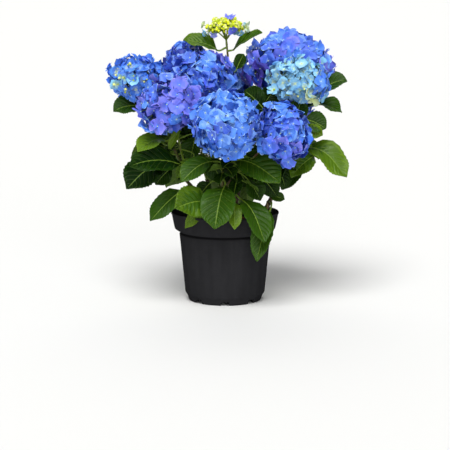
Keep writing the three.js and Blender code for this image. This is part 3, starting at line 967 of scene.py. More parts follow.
# Leaves placed one by one: the node that each goes by, the blade's foot and tip as shares of that
# node's box from its lowest corner, its width in millimetres, its roll in degrees and its tone. The
# first stands for its node. The rest fill out the crown between and behind the outer leaves.
PLACED_LEAVES = [
    ("leaf_right_under", (0.95, 0.6, 0.9), (0.1, 0.05, 0.05), 46, 10, 2.2),
    ("foliage_left", (0.7, 0.0, 0.95), (0.45, 0.0, 0.5), 18, 20, 2.8),
    ("foliage_left", (0.9, -0.1, 0.4), (0.6, -0.1, 0.05), 26, -25, 2.2),
    ("foliage_left", (0.5, 0.15, 0.2), (0.2, 0.15, -0.1), 42, 0, 0.3),
    ("foliage_left", (0.95, 0.1, 0.75), (0.85, 0.1, 0.3), 46, 30, 0.8),
    ("foliage_front", (0.25, 0.4, 0.2), (0.1, 0.4, -0.1), 34, 10, 0.3),
    ("foliage_front", (0.2, 0.1, -0.2), (-0.05, 0.05, -0.65), 26, -20, 2.6),
    ("foliage_front", (0.2, 0.5, 0.65), (0.4, 0.5, 0.2), 42, 15, 0.5),
    ("foliage_front", (0.45, 0.7, 0.55), (0.5, 0.7, 0.1), 46, -10, 0.0),
    ("foliage_front", (0.55, 0.5, 0.5), (0.7, 0.5, 0.1), 50, 10, 0.2),
    ("foliage_front", (0.6, 0.55, 0.8), (0.85, 0.55, 0.4), 54, 0, 0.4),
    ("foliage_front", (0.7, 0.45, 0.25), (0.85, 0.4, -0.15), 44, -15, 0.5),
    ("foliage_front", (0.85, 0.65, 0.3), (1.05, 0.65, -0.1), 40, 20, 0.1),
    ("foliage_right", (0.35, 0.5, -0.25), (0.6, 0.5, -0.3), 22, 0, 1.3),
    ("foliage_right", (0.9, 0.5, 0.35), (0.55, 0.5, -0.15), 46, 10, 0.5),
    ("foliage_right", (0.45, 0.35, 0.35), (0.6, 0.3, -0.1), 48, -10, 0.1),
    ("foliage_right", (0.9, 0.15, 1.0), (1.25, 0.15, 0.85), 46, 0, 1.0),
    ("foliage_right", (0.9, 0.15, 0.85), (1.2, 0.1, 0.75), 30, 25, 2.7),
    ("foliage_right", (0.75, 0.15, 0.95), (0.85, 0.15, 1.3), 42, 0, 0.4),
    ("foliage_heart", (0.95, 0.0, 0.75), (0.7, 0.0, 1.2), 48, 0, 0.2),
    ("foliage_heart", (0.95, 0.1, 0.8), (1.1, 0.1, 1.2), 44, 15, 0.3),
    ("foliage_heart", (0.6, 0.45, 1.7), (0.7, 0.45, 2.1), 26, 0, 0.6),
    ("foliage_back_left", (0.9, 0.4, 0.1), (1.0, 0.9, -0.5), 52, 15, 0.9),
    ("foliage_back_left", (0.4, 0.3, 0.3), (-0.1, 0.7, -0.1), 56, -20, 0.6),
    ("foliage_back_left", (0.85, 0.6, 0.3), (0.9, 1.05, -0.3), 54, 10, 1.3),
    ("foliage_back_left", (0.2, 0.5, 0.6), (-0.25, 1.0, 0.3), 58, 0, 1.1),
    ("foliage_back_left", (0.6, 0.7, 0.5), (0.45, 1.15, 0.05), 58, -15, 0.7),
    ("foliage_back_right", (0.4, 0.4, 0.1), (0.45, 0.9, -0.5), 50, -10, 1.0),
    ("foliage_back_right", (0.7, 0.3, 0.4), (0.9, 0.9, 0.0), 54, 15, 0.7),
    ("foliage_back_right", (0.6, 0.6, 0.4), (0.75, 1.1, -0.05), 60, 0, 1.2),
    ("foliage_back_right", (0.9, 0.4, 0.6), (1.35, 0.75, 0.3), 56, 20, 0.9),
    ("foliage_back_right", (0.2, 0.6, 0.4), (0.1, 1.1, 0.0), 56, -10, 0.6),
    ("foliage_right", (0.6, 0.9, 0.6), (1.0, 1.2, 0.25), 54, 0, 1.0),
    ("foliage_left", (0.4, 0.95, 0.3), (0.0, 1.2, -0.15), 54, 0, 1.0),
    ("foliage_left", (0.97, 0.5, 0.62), (0.88, 0.5, 1.1), 46, 0, 0.3),
    ("foliage_left", (0.82, 0.6, 0.6), (0.7, 0.6, 1.1), 44, 0, 0.2),
]


def placed_blade(node, foot, tip, width, roll):
    low, high = (np.array(corner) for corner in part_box(node))
    foot, tip = (low + (high - low) * share for share in (foot, tip))
    facing = np.array([0.0, 1.0 if "_back_" in node else -1.0, 0.45])
    return grown_blade(foot, tip, width * MM / 2, np.linalg.norm(tip - foot) * 0.08, roll, facing)


# The pieces that the outer leaves are joined into, by the beginnings of their names.
LEAF_GROUPS = {
    "front": ("rim_", "inner_"),
    "left": ("left_",),
    "right": ("right_",),
    "top": ("top_",),
    "back": ("back_",),
}


def build_outer_leaves(name, nodes, rng):
    """The leaves of some nodes as one piece, each with the look that is set for it."""
    pile = Pile()
    for node in nodes:
        tone, quilt, wave, *broader = LEAF_LOOKS.get(short(node), PLAIN_LOOK)
        blade = measured_blade(node, *broader)
        blade.midrib = blade.midrib + UP * RAISED.get(short(node), 0.0)
        add_blade(pile, blade, rng, tone, True, quilt, wave)
        add_leaf_stalk(pile, blade, nearest_limb(blade.midrib[0]), STALK_RADIUS, rng)
    return pile.piece(name, leaf_set())


def build_placed_leaves(name, rng):
    """The leaves that are placed one by one, as one piece."""
    pile = Pile()
    for *shape, tone in PLACED_LEAVES:
        blade = placed_blade(*shape)
        add_blade(pile, blade, rng, tone, True, 0.9, 0.08)
        add_leaf_stalk(pile, blade, nearest_limb(blade.midrib[0]), THIN_STALK, rng)
    return pile.piece(name, leaf_set())


# Openings that daylight shows through: where each runs at the front and at the back of the crown,
# as shares of the whole model's width and height.
OPENINGS = [
    ((0.41, 0.455), (0.40, 0.407)),
    ((0.364, 0.418), (0.354, 0.365)),
    ((0.63, 0.377), (0.642, 0.32)),
    ((0.668, 0.377), (0.681, 0.32)),
]
OPENING_DEPTHS = (0.286, 0.789)  # the front and the back, as shares of the whole model's depth
OPENING_REACH = 13 * MM  # a shoot's leaves keep this far from an opening's middle line


def blocks_daylight(blade):
    """Whether a blade lies across one of the crown's openings."""
    spots = blade.spots()
    low, high = (np.array(corner) for corner in cad_box)
    for shares in OPENINGS:
        ends = [(x, depth, z) for (x, z), depth in zip(shares, OPENING_DEPTHS)]
        front, back = low + (high - low) * np.array(ends)
        way = unit(back - front)
        offset = spots - front
        offset = offset - np.outer(offset @ way, way)
        if np.linalg.norm(offset, axis=1).min() < OPENING_REACH:
            return True
    return False


# A shoot's leaf: its length and its distance from the shoot's end in millimetres, and half its
# width as a share of its length.
SHOOT_SPANS, SHOOT_GAPS, SHOOT_HALVES = (76, 108), (6, 14), (0.38, 0.47)


def shoot_blade(end, outward, centre, size, hand, rng):
    """A leaf on one side of a shoot's end, short enough that its tip stays inside the mass."""
    sideways = unit(np.cross(outward, UP)) * hand
    aim = unit(outward + sideways * rng.uniform(0.4, 1.0) + UP * rng.uniform(-0.3, 0.3))
    foot = end + aim * rng.uniform(*SHOOT_GAPS) * MM
    span = rng.uniform(*SHOOT_SPANS) * MM
    for _ in range(7):
        tip = foot + aim * span - UP * span * rng.uniform(0.15, 0.5)
        if np.linalg.norm((tip - centre) / size) < 1:
            break
        span = span * 0.87
    half = span * rng.uniform(*SHOOT_HALVES)
    return grown_blade(foot, tip, half, span * 0.09, rng.uniform(-40, 40))


def grow_shoots(pile, mass, count, rng):
    """Shoots from the nearest limbs, each with a pair of leaves."""
    centre, size = middle(mass), reach(mass)
    for way in even_directions(count):
        way = unit(way * [1, 1, 0.8] + rng.normal(0, 0.25, 3))
        end = centre + way * size * rng.uniform(0.15, 0.5)
        root = nearest_limb(end, end[2] + 5 * MM)
        climb = UP * np.linalg.norm(end - root) * 0.25
        twig = bezier(root, root + (end - root) * 0.3 + climb, end - way * 8 * MM, end, 10)
        tube(pile, twig, np.linspace(2.2, 1.6, 10) * MM, 7, STALK)
        outward = unit(way + 0.6 * unit(end * [1, 1, 0]) + 0.25 * UP)
        for hand in (-1, 1):
            blade = shoot_blade(end, outward, centre, size, hand, rng)
            if not blocks_daylight(blade):
                add_blade(pile, blade, rng, rng.uniform(-0.5, 0.9), False, 1.2, 0.08)
                add_leaf_stalk(pile, blade, end, THIN_STALK, rng)


# ------------------------------------------------------------------ flower heads

PETAL_ACROSS = np.array([-1.0, -0.9, -0.5, 0.0, 0.5, 0.9, 1.0])
PETAL_ALONG = np.array([0.0, 0.16, 0.36, 0.58, 0.78, 0.95, 1.0])
PLAIN_ACROSS = np.array([-1.0, -0.4, 0.4, 1.0])
PLAIN_ALONG = np.array([0.0, 0.3, 0.7, 1.0])
PETAL_LEVELS = np.array([0.0, 0.9, 0.1, 1.0]) * MM  # a floret's petals overlap, two over two
YOUNG = ("aqua", "cream", "dawn")  # the palettes that buds stand among
AVERAGE_HEAD = 72 * MM  # the half size of the head that the number of florets is given for
SHELL = 0.97  # how far out towards its node's surface a head's outer florets start
HEART = 20 * MM  # no outer floret lies nearer than this to the middle of its head
# How far behind its middle a head's outer florets, inner florets and branching reach, as shares.
OUTER_BACK, INNER_BACK, HUB_BACK = 0.86, 0.75, 0.5
HUB_OUT = 0.42  # how far out a head's stalks branch, as a share of its half sizes
HUBS = 16  # the places where they do
EYE_HEIGHT, EYE_RADIUS = 1.4 * MM, 1.3 * MM  # of the bead in a floret's middle


class Head:
    """How one flower head looks. Its accents are other palettes, as (palette, chance) anywhere in
    the head, or as (palette, chance, bearing, climb, spread) on one side of it."""

    width = 1.0  # its florets' width, as a share of a full floret's
    fullness = 1.0  # how many florets it has, as a share of what would fill it
    closed = 0.0  # how far they are closed, from 0 to 1
    loose = 15 * MM  # how deep in the head the deepest lie
    stray = 0.0  # how far the boldest stray outside it
    tumble = 0.33  # how far they tumble out of line
    buds = 0  # how many buds stand among the young florets
    shade_painted = True  # whether its inner florets are painted in shade
    swells = ()  # where it swells out of its node, as (bearing, climb, spread, metres)

    def __init__(self, palette, *accents, **looks):
        self.accents = accents
        self.palettes = [palette] + sorted({accent[0] for accent in accents} - {palette})
        for key, value in looks.items():
            setattr(self, key, value)


HEADS = {
    # the sky accent is painted light: paler florets on the upper front, the side facing the key lamp
    "front": Head("azure", ("royal", 0.2), ("sky", 0.5, -105, 45, 45)),
    "front_right": Head("royal", ("azure", 0.45), ("violet", 0.15), swells=[(-10, 0, 60, -9 * MM)]),
    "left": Head(
        "violet",
        ("azure", 0.16),
        ("royal", 0.22),
        ("dusk", 0.05),
        ("azure", 0.3, -150, -50, 45),
        loose=19 * MM,
        tumble=0.42,
        stray=3 * MM,
        swells=[(-125, -60, 40, 8 * MM)],
    ),
    "pale": Head(
        "aqua",
        ("cream", 0.2, -120, 10, 40),
        ("azure", 0.55, -60, -25, 40),
        ("azure", 0.9, -20, -10, 40),
        ("cream", 0.9, -60, -42, 16),
        width=0.84,
        closed=0.14,
        loose=16 * MM,
        tumble=0.45,
        stray=4 * MM,
        buds=26,
        shade_painted=False,
    ),
    "middle": Head("royal", ("violet", 0.2), ("azure", 0.35), swells=[(-20, -20, 55, -14 * MM)]),
    "far_left": Head(
        "azure",
        ("royal", 0.2),
        ("navy", 0.2),
        ("dawn", 0.1),
        ("dawn", 0.8, -106, -8, 42),
        ("aqua", 0.3, -106, -8, 34),
        ("cream", 0.2, -100, -8, 18),
        width=0.86,
        fullness=0.72,
        closed=0.3,
        loose=26 * MM,
        tumble=0.5,
        stray=3 * MM,
        buds=24,
        shade_painted=False,
    ),
    "upper_right": Head(
        "royal",
        ("violet", 0.3),
        ("azure", 0.25),
        ("dusk", 0.75, -150, -40, 45),
        swells=[(-155, -35, 55, 32 * MM), (-10, 35, 50, -14 * MM), (180, 35, 40, -4 * MM)],
    ),
    # navy here is painted shade: this head lies in shadow behind the middle head
    "upper_left": Head("navy", ("azure", 0.25), ("royal", 0.2)),
    "back_left": Head("azure", ("violet", 0.3)),
    "back": Head("azure", ("royal", 0.2), ("navy", 0.15)),
    "back_right": Head("violet", ("royal", 0.4)),
}


def petal_outline(share, fullness):
    """A petal's half width at shares of its length: a narrow claw, then broad, then a blunt point."""
    broadest = 0.52
    opening = np.sin(math.pi / 2 * np.clip(share / broadest, 0, 1)) ** 0.85
    closing = 1 - np.clip((share - broadest) / (1 - broadest), 0, 1) ** fullness
    return np.maximum(opening * closing, np.where(share < broadest, 0.16, 0.05))


def petal_finishes(rng, count, rows, columns, fine):
    """The zone of each face of each petal: a throat, then an inner and an outer part, and on some
    a rim with a painted highlight, in shades that petals and whole florets differ by."""
    r, c = (at[None, None] for at in np.divmod(np.arange(rows * columns), columns))
    inner = rng.integers(INNER, OUTER, (count, 4))[..., None]
    own = rng.random((count, 4)) < 0.5
    outer = np.where(own, rng.integers(OUTER, RIM_HIGHLIGHT, (count, 1)), OUTER)
    odd = rng.random((count, 4)) < 0.3
    outer = np.where(odd, rng.integers(OUTER, RIM_HIGHLIGHT, (count, 4)), outer)[..., None]
    rim = rng.integers(RIM_HIGHLIGHT, PAINTED_SHADE, (count, 4))[..., None]
    finish = np.where(r == 0, THROAT, np.where(r == 1, inner, outer))
    if fine:
        # painted highlight: on some petals the margins take the pale rim colour, as if they caught the
        # light
        highlit = (rng.random((count, 4)) < 0.6)[..., None]
        centre = (c == columns // 2 - 1) | (c == columns // 2)
        margin = (c == 0) | (c == columns - 1) | (r == rows - 1)
        finish = np.where((r == 2) & centre, inner, finish)
        finish = np.where(highlit & (r >= 2) & margin, rim, finish)
    return finish


def add_florets(pile, places, axes, widths, rng, closed, starts, fine=True, shade=False):
    """Florets of four broad petals that overlap, each cupped, rippled and tipped in its own way.
    Starts are the numbers of their palettes' first finishes."""
    count = len(places)
    across, share = (PETAL_ACROSS, PETAL_ALONG) if fine else (PLAIN_ACROSS, PLAIN_ALONG)
    rows, cols = len(share), len(across)
    u, v = across[None, None, None, :], share[None, None, :, None]

    def chance(low, high):
        return rng.uniform(low, high, (count, 4))[..., None, None]

    first, second = facing_frame(axes)
    turn = rng.uniform(0, TURN, (count, 1)) + np.arange(4) * TURN / 4
    turn = turn + rng.normal(0, 0.07, (count, 4))
    ahead = first[:, None] * np.cos(turn)[..., None] + second[:, None] * np.sin(turn)[..., None]
    aside = np.cross(axes[:, None], ahead)
    length = (widths / 2)[:, None, None, None] * chance(0.9, 1.1)
    half = length * chance(0.54, 0.66) * petal_outline(v, chance(1.25, 1.8))
    close = np.clip(closed + rng.normal(0, 0.1, (count, 1, 1, 1)), -0.15, 1.0)
    lift = chance(-0.12, 0.45) + 0.9 * close
    droop = chance(-0.1, 0.5) + 0.2 * close
    crease, cup, twist = chance(-0.04, 0.26), chance(-0.4, 0.3), chance(-0.4, 0.4)
    rise = length * (lift * v**1.3 - droop * v**3)
    rise = rise + half * (crease * np.abs(u) + cup * u * u + twist * u)
    ripple = np.sin(chance(4.0, 8.0) * v + chance(0, 6.28)) * np.where(u < 0, -1, 1)
    rise = rise + length * 0.09 * ripple * np.abs(u) ** 3 * v + PETAL_LEVELS[None, :, None, None]
    out = length * (0.04 + (v - 0.07 * u * u * v) * (1 - 0.3 * np.clip(close, 0, 1)))
    points = (
        places[:, None, None, None]
        + ahead[:, :, None, None] * out[..., None]
        - aside[:, :, None, None] * (u * half)[..., None]
        + axes[:, None, None, None] * rise[..., None]
    )
    faces = copies(grid_faces(rows, cols), rows * cols, count * 4)
    finish = petal_finishes(rng, count, rows - 1, cols - 1, fine)
    # with shade set, each face takes the painted shade finish
    finish = (PAINTED_SHADE if shade else finish) + starts[:, None, None]
    finish = np.broadcast_to(finish, (count, 4, (rows - 1) * (cols - 1)))
    maps = np.stack(np.broadcast_arrays(u * 0.5 + 0.5, v), axis=-1)
    maps = maps + rng.integers(0, 40, (count, 4, 1, 1, 1))
    pile.add(points, faces, finish.ravel(), np.broadcast_to(maps, (*points.shape[:-1], 2)))


def head_surface(node, directions):
    """How far a head's surface lies from its middle in each direction."""
    centre = Vector(middle(node))
    hits = [skin(node).ray_cast(centre, Vector(d)) for d in directions]
    return np.array([hit[3] if hit[0] is not None else 0.0 for hit in hits])


def spread_over(facing, count, reach_back, rng):
    """Directions over a dome that faces one way, down to a share of the way behind it."""
    x, y, z = even_directions(count).T[..., None]
    first, second = facing_frame(facing)
    directions = x * first + y * second + z * facing
    directions = unit(directions + rng.normal(0, 0.035, directions.shape))
    return directions[directions @ facing > -reach_back]


def add_rays(stalks, hubs, heart, places, axes):
    """The branching inside a head: thick rays from the bough to the hubs, thin stalks to florets."""
    for hub in hubs:
        bent = hub + (heart - hub) * 0.3 + UP * 3 * MM
        path = bezier(heart, heart + (hub - heart) * 0.4, bent, hub, 6)
        tube(stalks, path, np.linspace(1.9, 1.1, 6) * MM, 5, 0)
    for place, axis in zip(places, axes):
        hub = hubs[np.argmin(np.linalg.norm(hubs - place, axis=1))]
        span = np.linalg.norm(place - hub)
        path = bezier(hub, hub + (place - hub) * 0.4, place - axis * span * 0.35, place, 5)
        tube(stalks, path, np.linspace(0.8, 0.55, 5) * MM, 4, 0)


def choose_palettes(head, directions, rng):
    """The first finish of each floret's palette, by its direction in the head."""
    choice = np.zeros(len(directions), int)
    for palette, chance, *side in head.accents:
        near = rng.random(len(directions)) < chance
        if side:
            bearing, climb, spread = side
            near &= directions @ heading(bearing, climb) > math.cos(math.radians(spread))
        choice[near] = head.palettes.index(palette)
    return choice * len(PETAL_ZONES)


def head_depth(node, head, directions):
    """How far out from its middle a head reaches in each direction, and how far it swells there."""
    swell = np.zeros(len(directions))
    for bearing, climb, spread, by in head.swells:
        cosine = np.clip(directions @ heading(bearing, climb), -1, 1)
        swell += by * np.clip(1 - (np.degrees(np.arccos(cosine)) / spread) ** 2, 0, 1)
    return head_surface(node, directions), swell


def add_loose_buds(pile, head, places, axes, starts, rng):
    """Buds that stand among a head's young florets."""
    young = [k for k, palette in enumerate(head.palettes) if palette in YOUNG]
    spots = rng.choice(np.flatnonzero(np.isin(starts // len(PETAL_ZONES), young)), head.buds)
    put = places[spots] + axes[spots] * 3 * MM + rng.normal(0, 4 * MM, (head.buds, 3))
    radii = sizes().bud / 2 * rng.uniform(0.8, 1.4, head.buds)
    finish = len(head.palettes) * len(PETAL_ZONES) + rng.integers(1, 3, head.buds)
    beads(pile, put, axes[spots], radii, finish, 1.2)


def head_finishes(palettes, buds):
    """The finishes of a head: those of its palettes one after another, then those of buds."""
    return [finish for palette in palettes for finish in petal_set(palette)] + buds


def build_head(name, head, stalks, rng):
    """One mophead: an outer shell of open florets, inner ones beneath in painted shade where the head
    asks for it, and the stalks within.
    """
    node = "bloom_" + name
    centre, size = middle(node), reach(node)
    heart = whole_bough(name)[0][-1]
    facing = unit(centre - whole_bough(name)[0][-3])
    full = sizes().florets * (size.prod() ** (1 / 3) / AVERAGE_HEAD) ** 2 / head.width**1.6
    pile = Pile()
    outward = spread_over(facing, int(full * head.fullness), OUTER_BACK, rng)
    depth, swell = head_depth(node, head, outward)
    sink = rng.uniform(4 * MM - head.stray, head.loose, len(outward))
    places = centre + outward * np.maximum(SHELL * depth + swell - sink, HEART)[:, None]
    square = unit(outward / size**2)
    axes = unit(0.6 * outward + 0.4 * square + rng.normal(0, head.tumble, outward.shape))
    widths = sizes().floret * head.width * rng.uniform(0.86, 1.06, len(places))
    starts = choose_palettes(head, outward, rng)
    closed = head.closed * rng.uniform(0.4, 1.6, (len(places), 1, 1, 1))
    add_florets(pile, places, axes, widths, rng, closed, starts)
    beads(pile, places + axes * EYE_HEIGHT, axes, [EYE_RADIUS] * len(places), starts + EYE)

    under = spread_over(facing, int(full * sizes().inner_florets), INNER_BACK, rng)
    deep = sum(head_depth(node, head, under)) * rng.uniform(0.7, 0.82, len(under))
    lower = centre + under * deep[:, None]
    tipped = unit(under + rng.normal(0, 0.3, under.shape))
    narrow = widths.mean() * rng.uniform(0.8, 0.95, len(under))
    plain = np.zeros(len(under), int)
    # the inner florets are painted in shade where the head asks for it
    add_florets(pile, lower, tipped, narrow, rng, head.closed, plain, fine=False, shade=head.shade_painted)
    if head.buds:
        add_loose_buds(pile, head, places, axes, starts, rng)
    hubs = centre + spread_over(facing, HUBS, HUB_BACK, rng) * size * HUB_OUT
    ends = np.concatenate([places, lower]), np.concatenate([axes, tipped])
    add_rays(stalks, hubs, heart, *ends)
    finishes = head_finishes(head.palettes, bud_set() if head.buds else [])
    return pile.piece("florets_" + name, finishes), node


@cache
def bud_set():
    bud = chosen("bud")
    return [
        lamina_finish("bud_ripe", scaled(bud, 1.1), 0.45),
        lamina_finish("bud_green", mixed(bud, linear("#6FA03A"), 0.35), 0.45),
        lamina_finish("bud_pale", mixed(bud, linear("#F1F3B8"), 0.5), 0.45),
    ]


# The few florets of the youngest head: bearing and climb from its middle, width as a share of a
# full floret, and palette.
RIM_FLORETS = [
    (-64, 66, 0.7, "violet"),
    (-72, -6, 0.62, "violet"),
    (-40, -24, 0.5, "aqua"),
    (-18, 4, 0.66, "cream"),
    (4, -10, 0.6, "cream"),
    (24, 12, 0.5, "aqua"),
    (-128, -30, 0.5, "lilac"),
    (-152, -8, 0.6, "cream"),
    (-172, -20, 0.5, "aqua"),
    (-176, 14, 0.5, "cream"),
    (60, -14, 0.6, "aqua"),
    (92, 6, 0.56, "lilac"),
    (124, -12, 0.62, "aqua"),
    (154, 8, 0.5, "cream"),
]


def build_bud_head(name, stalks, rng):
    """The youngest head: branched clusters of tight buds, with a few small florets round the rim."""
    node = "bloom_" + name
    centre, size = middle(node), reach(node)
    heart = whole_bough(name)[0][-2]
    pile = Pile()
    palettes = sorted({floret[-1] for floret in RIM_FLORETS})
    first_bud = len(palettes) * len(PETAL_ZONES)
    outward = spread_over(UP, 56, 0.3, rng)
    hubs = centre + outward * size * rng.uniform(0.5, 0.78, (len(outward), 1))
    for hub, way in zip(hubs, outward):
        count = rng.integers(12, 20)
        dome = unit(way * 0.9 + UP * 0.3 + rng.normal(0, 0.6, (count, 3)))
        put = hub + dome * rng.uniform(3.5, 8.0, (count, 1)) * MM
        radii = sizes().bud / 2 * rng.uniform(0.9, 1.5, count)
        beads(pile, put, dome, radii, first_bud + rng.integers(0, 3, count), 1.25)
        for spot in put[:7]:
            tube(stalks, np.linspace(hub, spot, 3), np.array([0.6, 0.5, 0.4]) * MM, 4, 0)
    rim = np.array([heading(bearing, climb) for bearing, climb, *_ in RIM_FLORETS])
    places = centre + rim * size * rng.uniform(0.82, 1.0, (len(rim), 1))
    axes = unit(rim + rng.normal(0, 0.3, rim.shape))
    widths = sizes().floret * np.array([width for *_, width, _ in RIM_FLORETS])
    starts = np.array([palettes.index(floret[-1]) for floret in RIM_FLORETS]) * len(PETAL_ZONES)
    add_florets(pile, places, axes, widths, rng, 0.35, starts)
    beads(pile, places + axes * MM, axes, np.full(len(places), 1.1 * MM), starts + EYE)
    forks = centre + spread_over(UP, 12, 0.1, rng) * size * HUB_OUT - UP * 6 * MM
    ends = np.concatenate([places, hubs]), np.concatenate([axes, outward])
    add_rays(stalks, forks, heart, *ends)
    return pile.piece("florets_" + name, head_finishes(palettes, bud_set())), node


# ------------------------------------------------------------------ modelling by hand


def select_only(*objects):
    """Leaves only these objects selected, the first of them active."""
    bpy.ops.object.select_all(action="DESELECT")
    for obj in objects:
        obj.select_set(True)
    if objects:
        bpy.context.view_layer.objects.active = objects[0]


def joined(name, objects):
    select_only(*objects)
    if len(objects) > 1:
        bpy.ops.object.join()
    obj = bpy.context.object
    obj.name = obj.data.name = name
    return obj


def apply_modifiers(obj):
    select_only(obj)
    for modifier in list(obj.modifiers):
        bpy.ops.object.modifier_apply(modifier=modifier.name)


def settle():
    """Puts the active object's place, turn and size into its mesh."""
    bpy.ops.object.transform_apply(location=True, rotation=True, scale=True)


@contextmanager
def editing():
    """Edit mode with all of the active object selected. Its normals point outwards afterwards."""
    bpy.ops.object.mode_set(mode="EDIT")
    bpy.ops.mesh.select_all(action="SELECT")
    yield
    bpy.ops.mesh.select_all(action="SELECT")
    bpy.ops.mesh.normals_make_consistent(inside=False)
    bpy.ops.object.mode_set(mode="OBJECT")


def turned_solid(name, profile, sides):
    """A solid of revolution: a disc drawn out through each (radius, height) of its profile."""
    radius, height = profile[0]
    disc = {"vertices": sides, "radius": radius, "fill_type": "NGON"}
    select_only()
    bpy.ops.mesh.primitive_circle_add(location=(0, 0, height), **disc)
    settle()
    with editing():
        for wide, level in profile[1:]:
            up = {"value": (0, 0, level - height)}
            bpy.ops.mesh.extrude_region_move(TRANSFORM_OT_translate=up)
            by = wide / radius
            bpy.ops.transform.resize(value=(by, by, 1), center_override=(0, 0, level))
            radius, height = wide, level
    bpy.context.object.name = name
    return bpy.context.object


def roughen(obj, size, strength, group=""):
    """Moves a mesh's surface in and out by a cloudy pattern of the given size."""
    texture = bpy.data.textures.new(obj.name + "_relief", "CLOUDS")
    texture.noise_scale, texture.noise_depth = size, 3
    select_only(obj)
    bpy.ops.object.modifier_add(type="DISPLACE")
    relief = obj.modifiers[-1]
    relief.texture, relief.texture_coords = texture, "LOCAL"
    relief.strength, relief.mid_level, relief.vertex_group = strength, 0.5, group
    apply_modifiers(obj)
    bpy.data.textures.remove(texture)


def ride_on_plant(piece, slot, *nodes):
    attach(piece, "root")
    if nodes:
        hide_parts(*nodes)


def give(piece, material, slot, *nodes):
    """Gives a piece its only material, and has it ride on the plant."""
    piece.data.materials.clear()
    piece.data.materials.append(material)
    ride_on_plant(piece, slot, *nodes)


# The gaps through the pot's foot ring: how many, their width below, the share of it above, their
# height and how far they reach through the ring.
NOTCH = {"count": 8, "wide": 25 * MM, "narrow": 0.55, "high": 9 * MM, "long": 24 * MM}
POT_SIDES = 128
POT_WALL = 2.0 * MM
POT_GROOVE = 1.8 * MM  # depth of the groove under the pot's band
POT_FLOOR = 12.5 * MM
POT_HOLLOW = 9.5 * MM  # height of the pot's underside inside its foot ring
RING_WIDTH = 8 * MM
CENTRE = 4 * MM  # radius of the disc that a turned solid starts and ends with


def flare(node, low, high):
    """The radius and level of a wall just below and just above its steepest flare."""
    levels = np.linspace(low, high, 90)
    radii = np.array([outer_radius(node, level) for level in levels])
    steep = np.flatnonzero(np.diff(radii) > 0.5 * np.diff(radii).max())
    return (radii[steep[0]], levels[steep[0]]), (radii[steep[-1] + 1], levels[steep[-1] + 1])


def band_flare():
    """The flare from the pot's body to its band."""
    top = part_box("pot")[1].z
    return flare("pot", 0.6 * top, 0.97 * top)


def offset_points(rows):
    """Points of a profile from radii and levels, each with how many millimetres to go further."""
    return [(radius + out * MM, level + up * MM) for radius, out, level, up in rows]


def pot_profile():
    """The pot's profile from the middle of its underside, out, up, over the rim and down inside."""
    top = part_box("pot")[1].z
    (foot, shoulder), (base, base_level) = flare("pot", 1 * MM, 0.16 * top)
    (body, body_top), (band, band_foot) = band_flare()
    rim, ring = outer_radius("pot", top - 0.5 * MM), outer_radius("pot", 1 * MM)
    ring_inside = ring - RING_WIDTH
    groove, groove_inside = body - POT_GROOVE, body - POT_WALL - POT_GROOVE
    rim_inside, body_inside = rim - POT_WALL, body - POT_WALL
    outside = [
        (ring_inside, 0, POT_HOLLOW, 0),
        (ring_inside, 0.8, 0, 0),
        (ring, -1.5, 0, 0),
        (ring, 0, 0, 1.5),
        (foot, 0, shoulder, -1),
        (foot, 1, shoulder, 0.5),
        (base, -1.2, base_level, -1.2),
        (base, 0, base_level, 1),
        ((base * 2 + body) / 3, 0, (base_level * 2 + body_top) / 3, 0),
        ((base + body * 2) / 3, 0, (base_level + body_top * 2) / 3, 0),
        (body, -0.3, body_top, -6),
        (groove, 0, body_top, -5),
        (groove, 0, body_top, -1),
        (band, -1.8, band_foot, -0.4),
        (band, -0.6, band_foot, 1),
        (band, 0, band_foot, 3),
        ((band + rim) / 2, -0.3, (band_foot + top) / 2, 0),
        (rim, -1.4, top, -5),
        (rim, -0.2, top, -4),
        (rim, 0, top, -1.2),
        (rim, -0.6, top, 0),
    ]
    inside = [
        (rim_inside, -0.4, top, 0),
        (rim_inside, -1, top, -1),
        (band - POT_WALL, -1, band_foot, 2),
        (groove_inside, 0, body_top, 0),
        (groove_inside, 0, body_top, -6),
        (body_inside, 0, body_top, -10),
        (base - POT_WALL, 0, base_level, 1),
        (foot - POT_WALL, 0, POT_FLOOR, 0),
    ]
    return [(CENTRE, POT_HOLLOW), *offset_points(outside + inside), (CENTRE, POT_FLOOR)]


def foot_cutter():
    """The tapering gaps through the pot's foot ring, as one mesh."""
    ring = outer_radius("pot", 1 * MM) - RING_WIDTH / 2
    cutters = []
    for turn in np.arange(NOTCH["count"]) * TURN / NOTCH["count"] - TURN / 4:
        select_only()
        bpy.ops.mesh.primitive_cube_add(size=1, location=(0, 0, 0))
        cutter = bpy.context.object
        cutter.scale = (NOTCH["long"], NOTCH["wide"], NOTCH["high"] * 2)
        settle()
        vertices = cutter.data.vertices
        for vertex in vertices:
            vertex.select = vertex.co.z > 0
        for part in (*cutter.data.edges, *cutter.data.polygons):
            part.select = all(vertices[i].select for i in part.vertices)
        bpy.ops.object.mode_set(mode="EDIT")
        narrow, top = (1, NOTCH["narrow"], 1), (0, 0, NOTCH["high"])
        bpy.ops.transform.resize(value=narrow, center_override=top)
        bpy.ops.object.mode_set(mode="OBJECT")
        cutter.location = (ring * math.cos(turn), ring * math.sin(turn), 0)
        cutter.rotation_euler = (0, 0, turn)
        settle()
        cutters.append(cutter)
    return joined("foot_cutter", cutters)


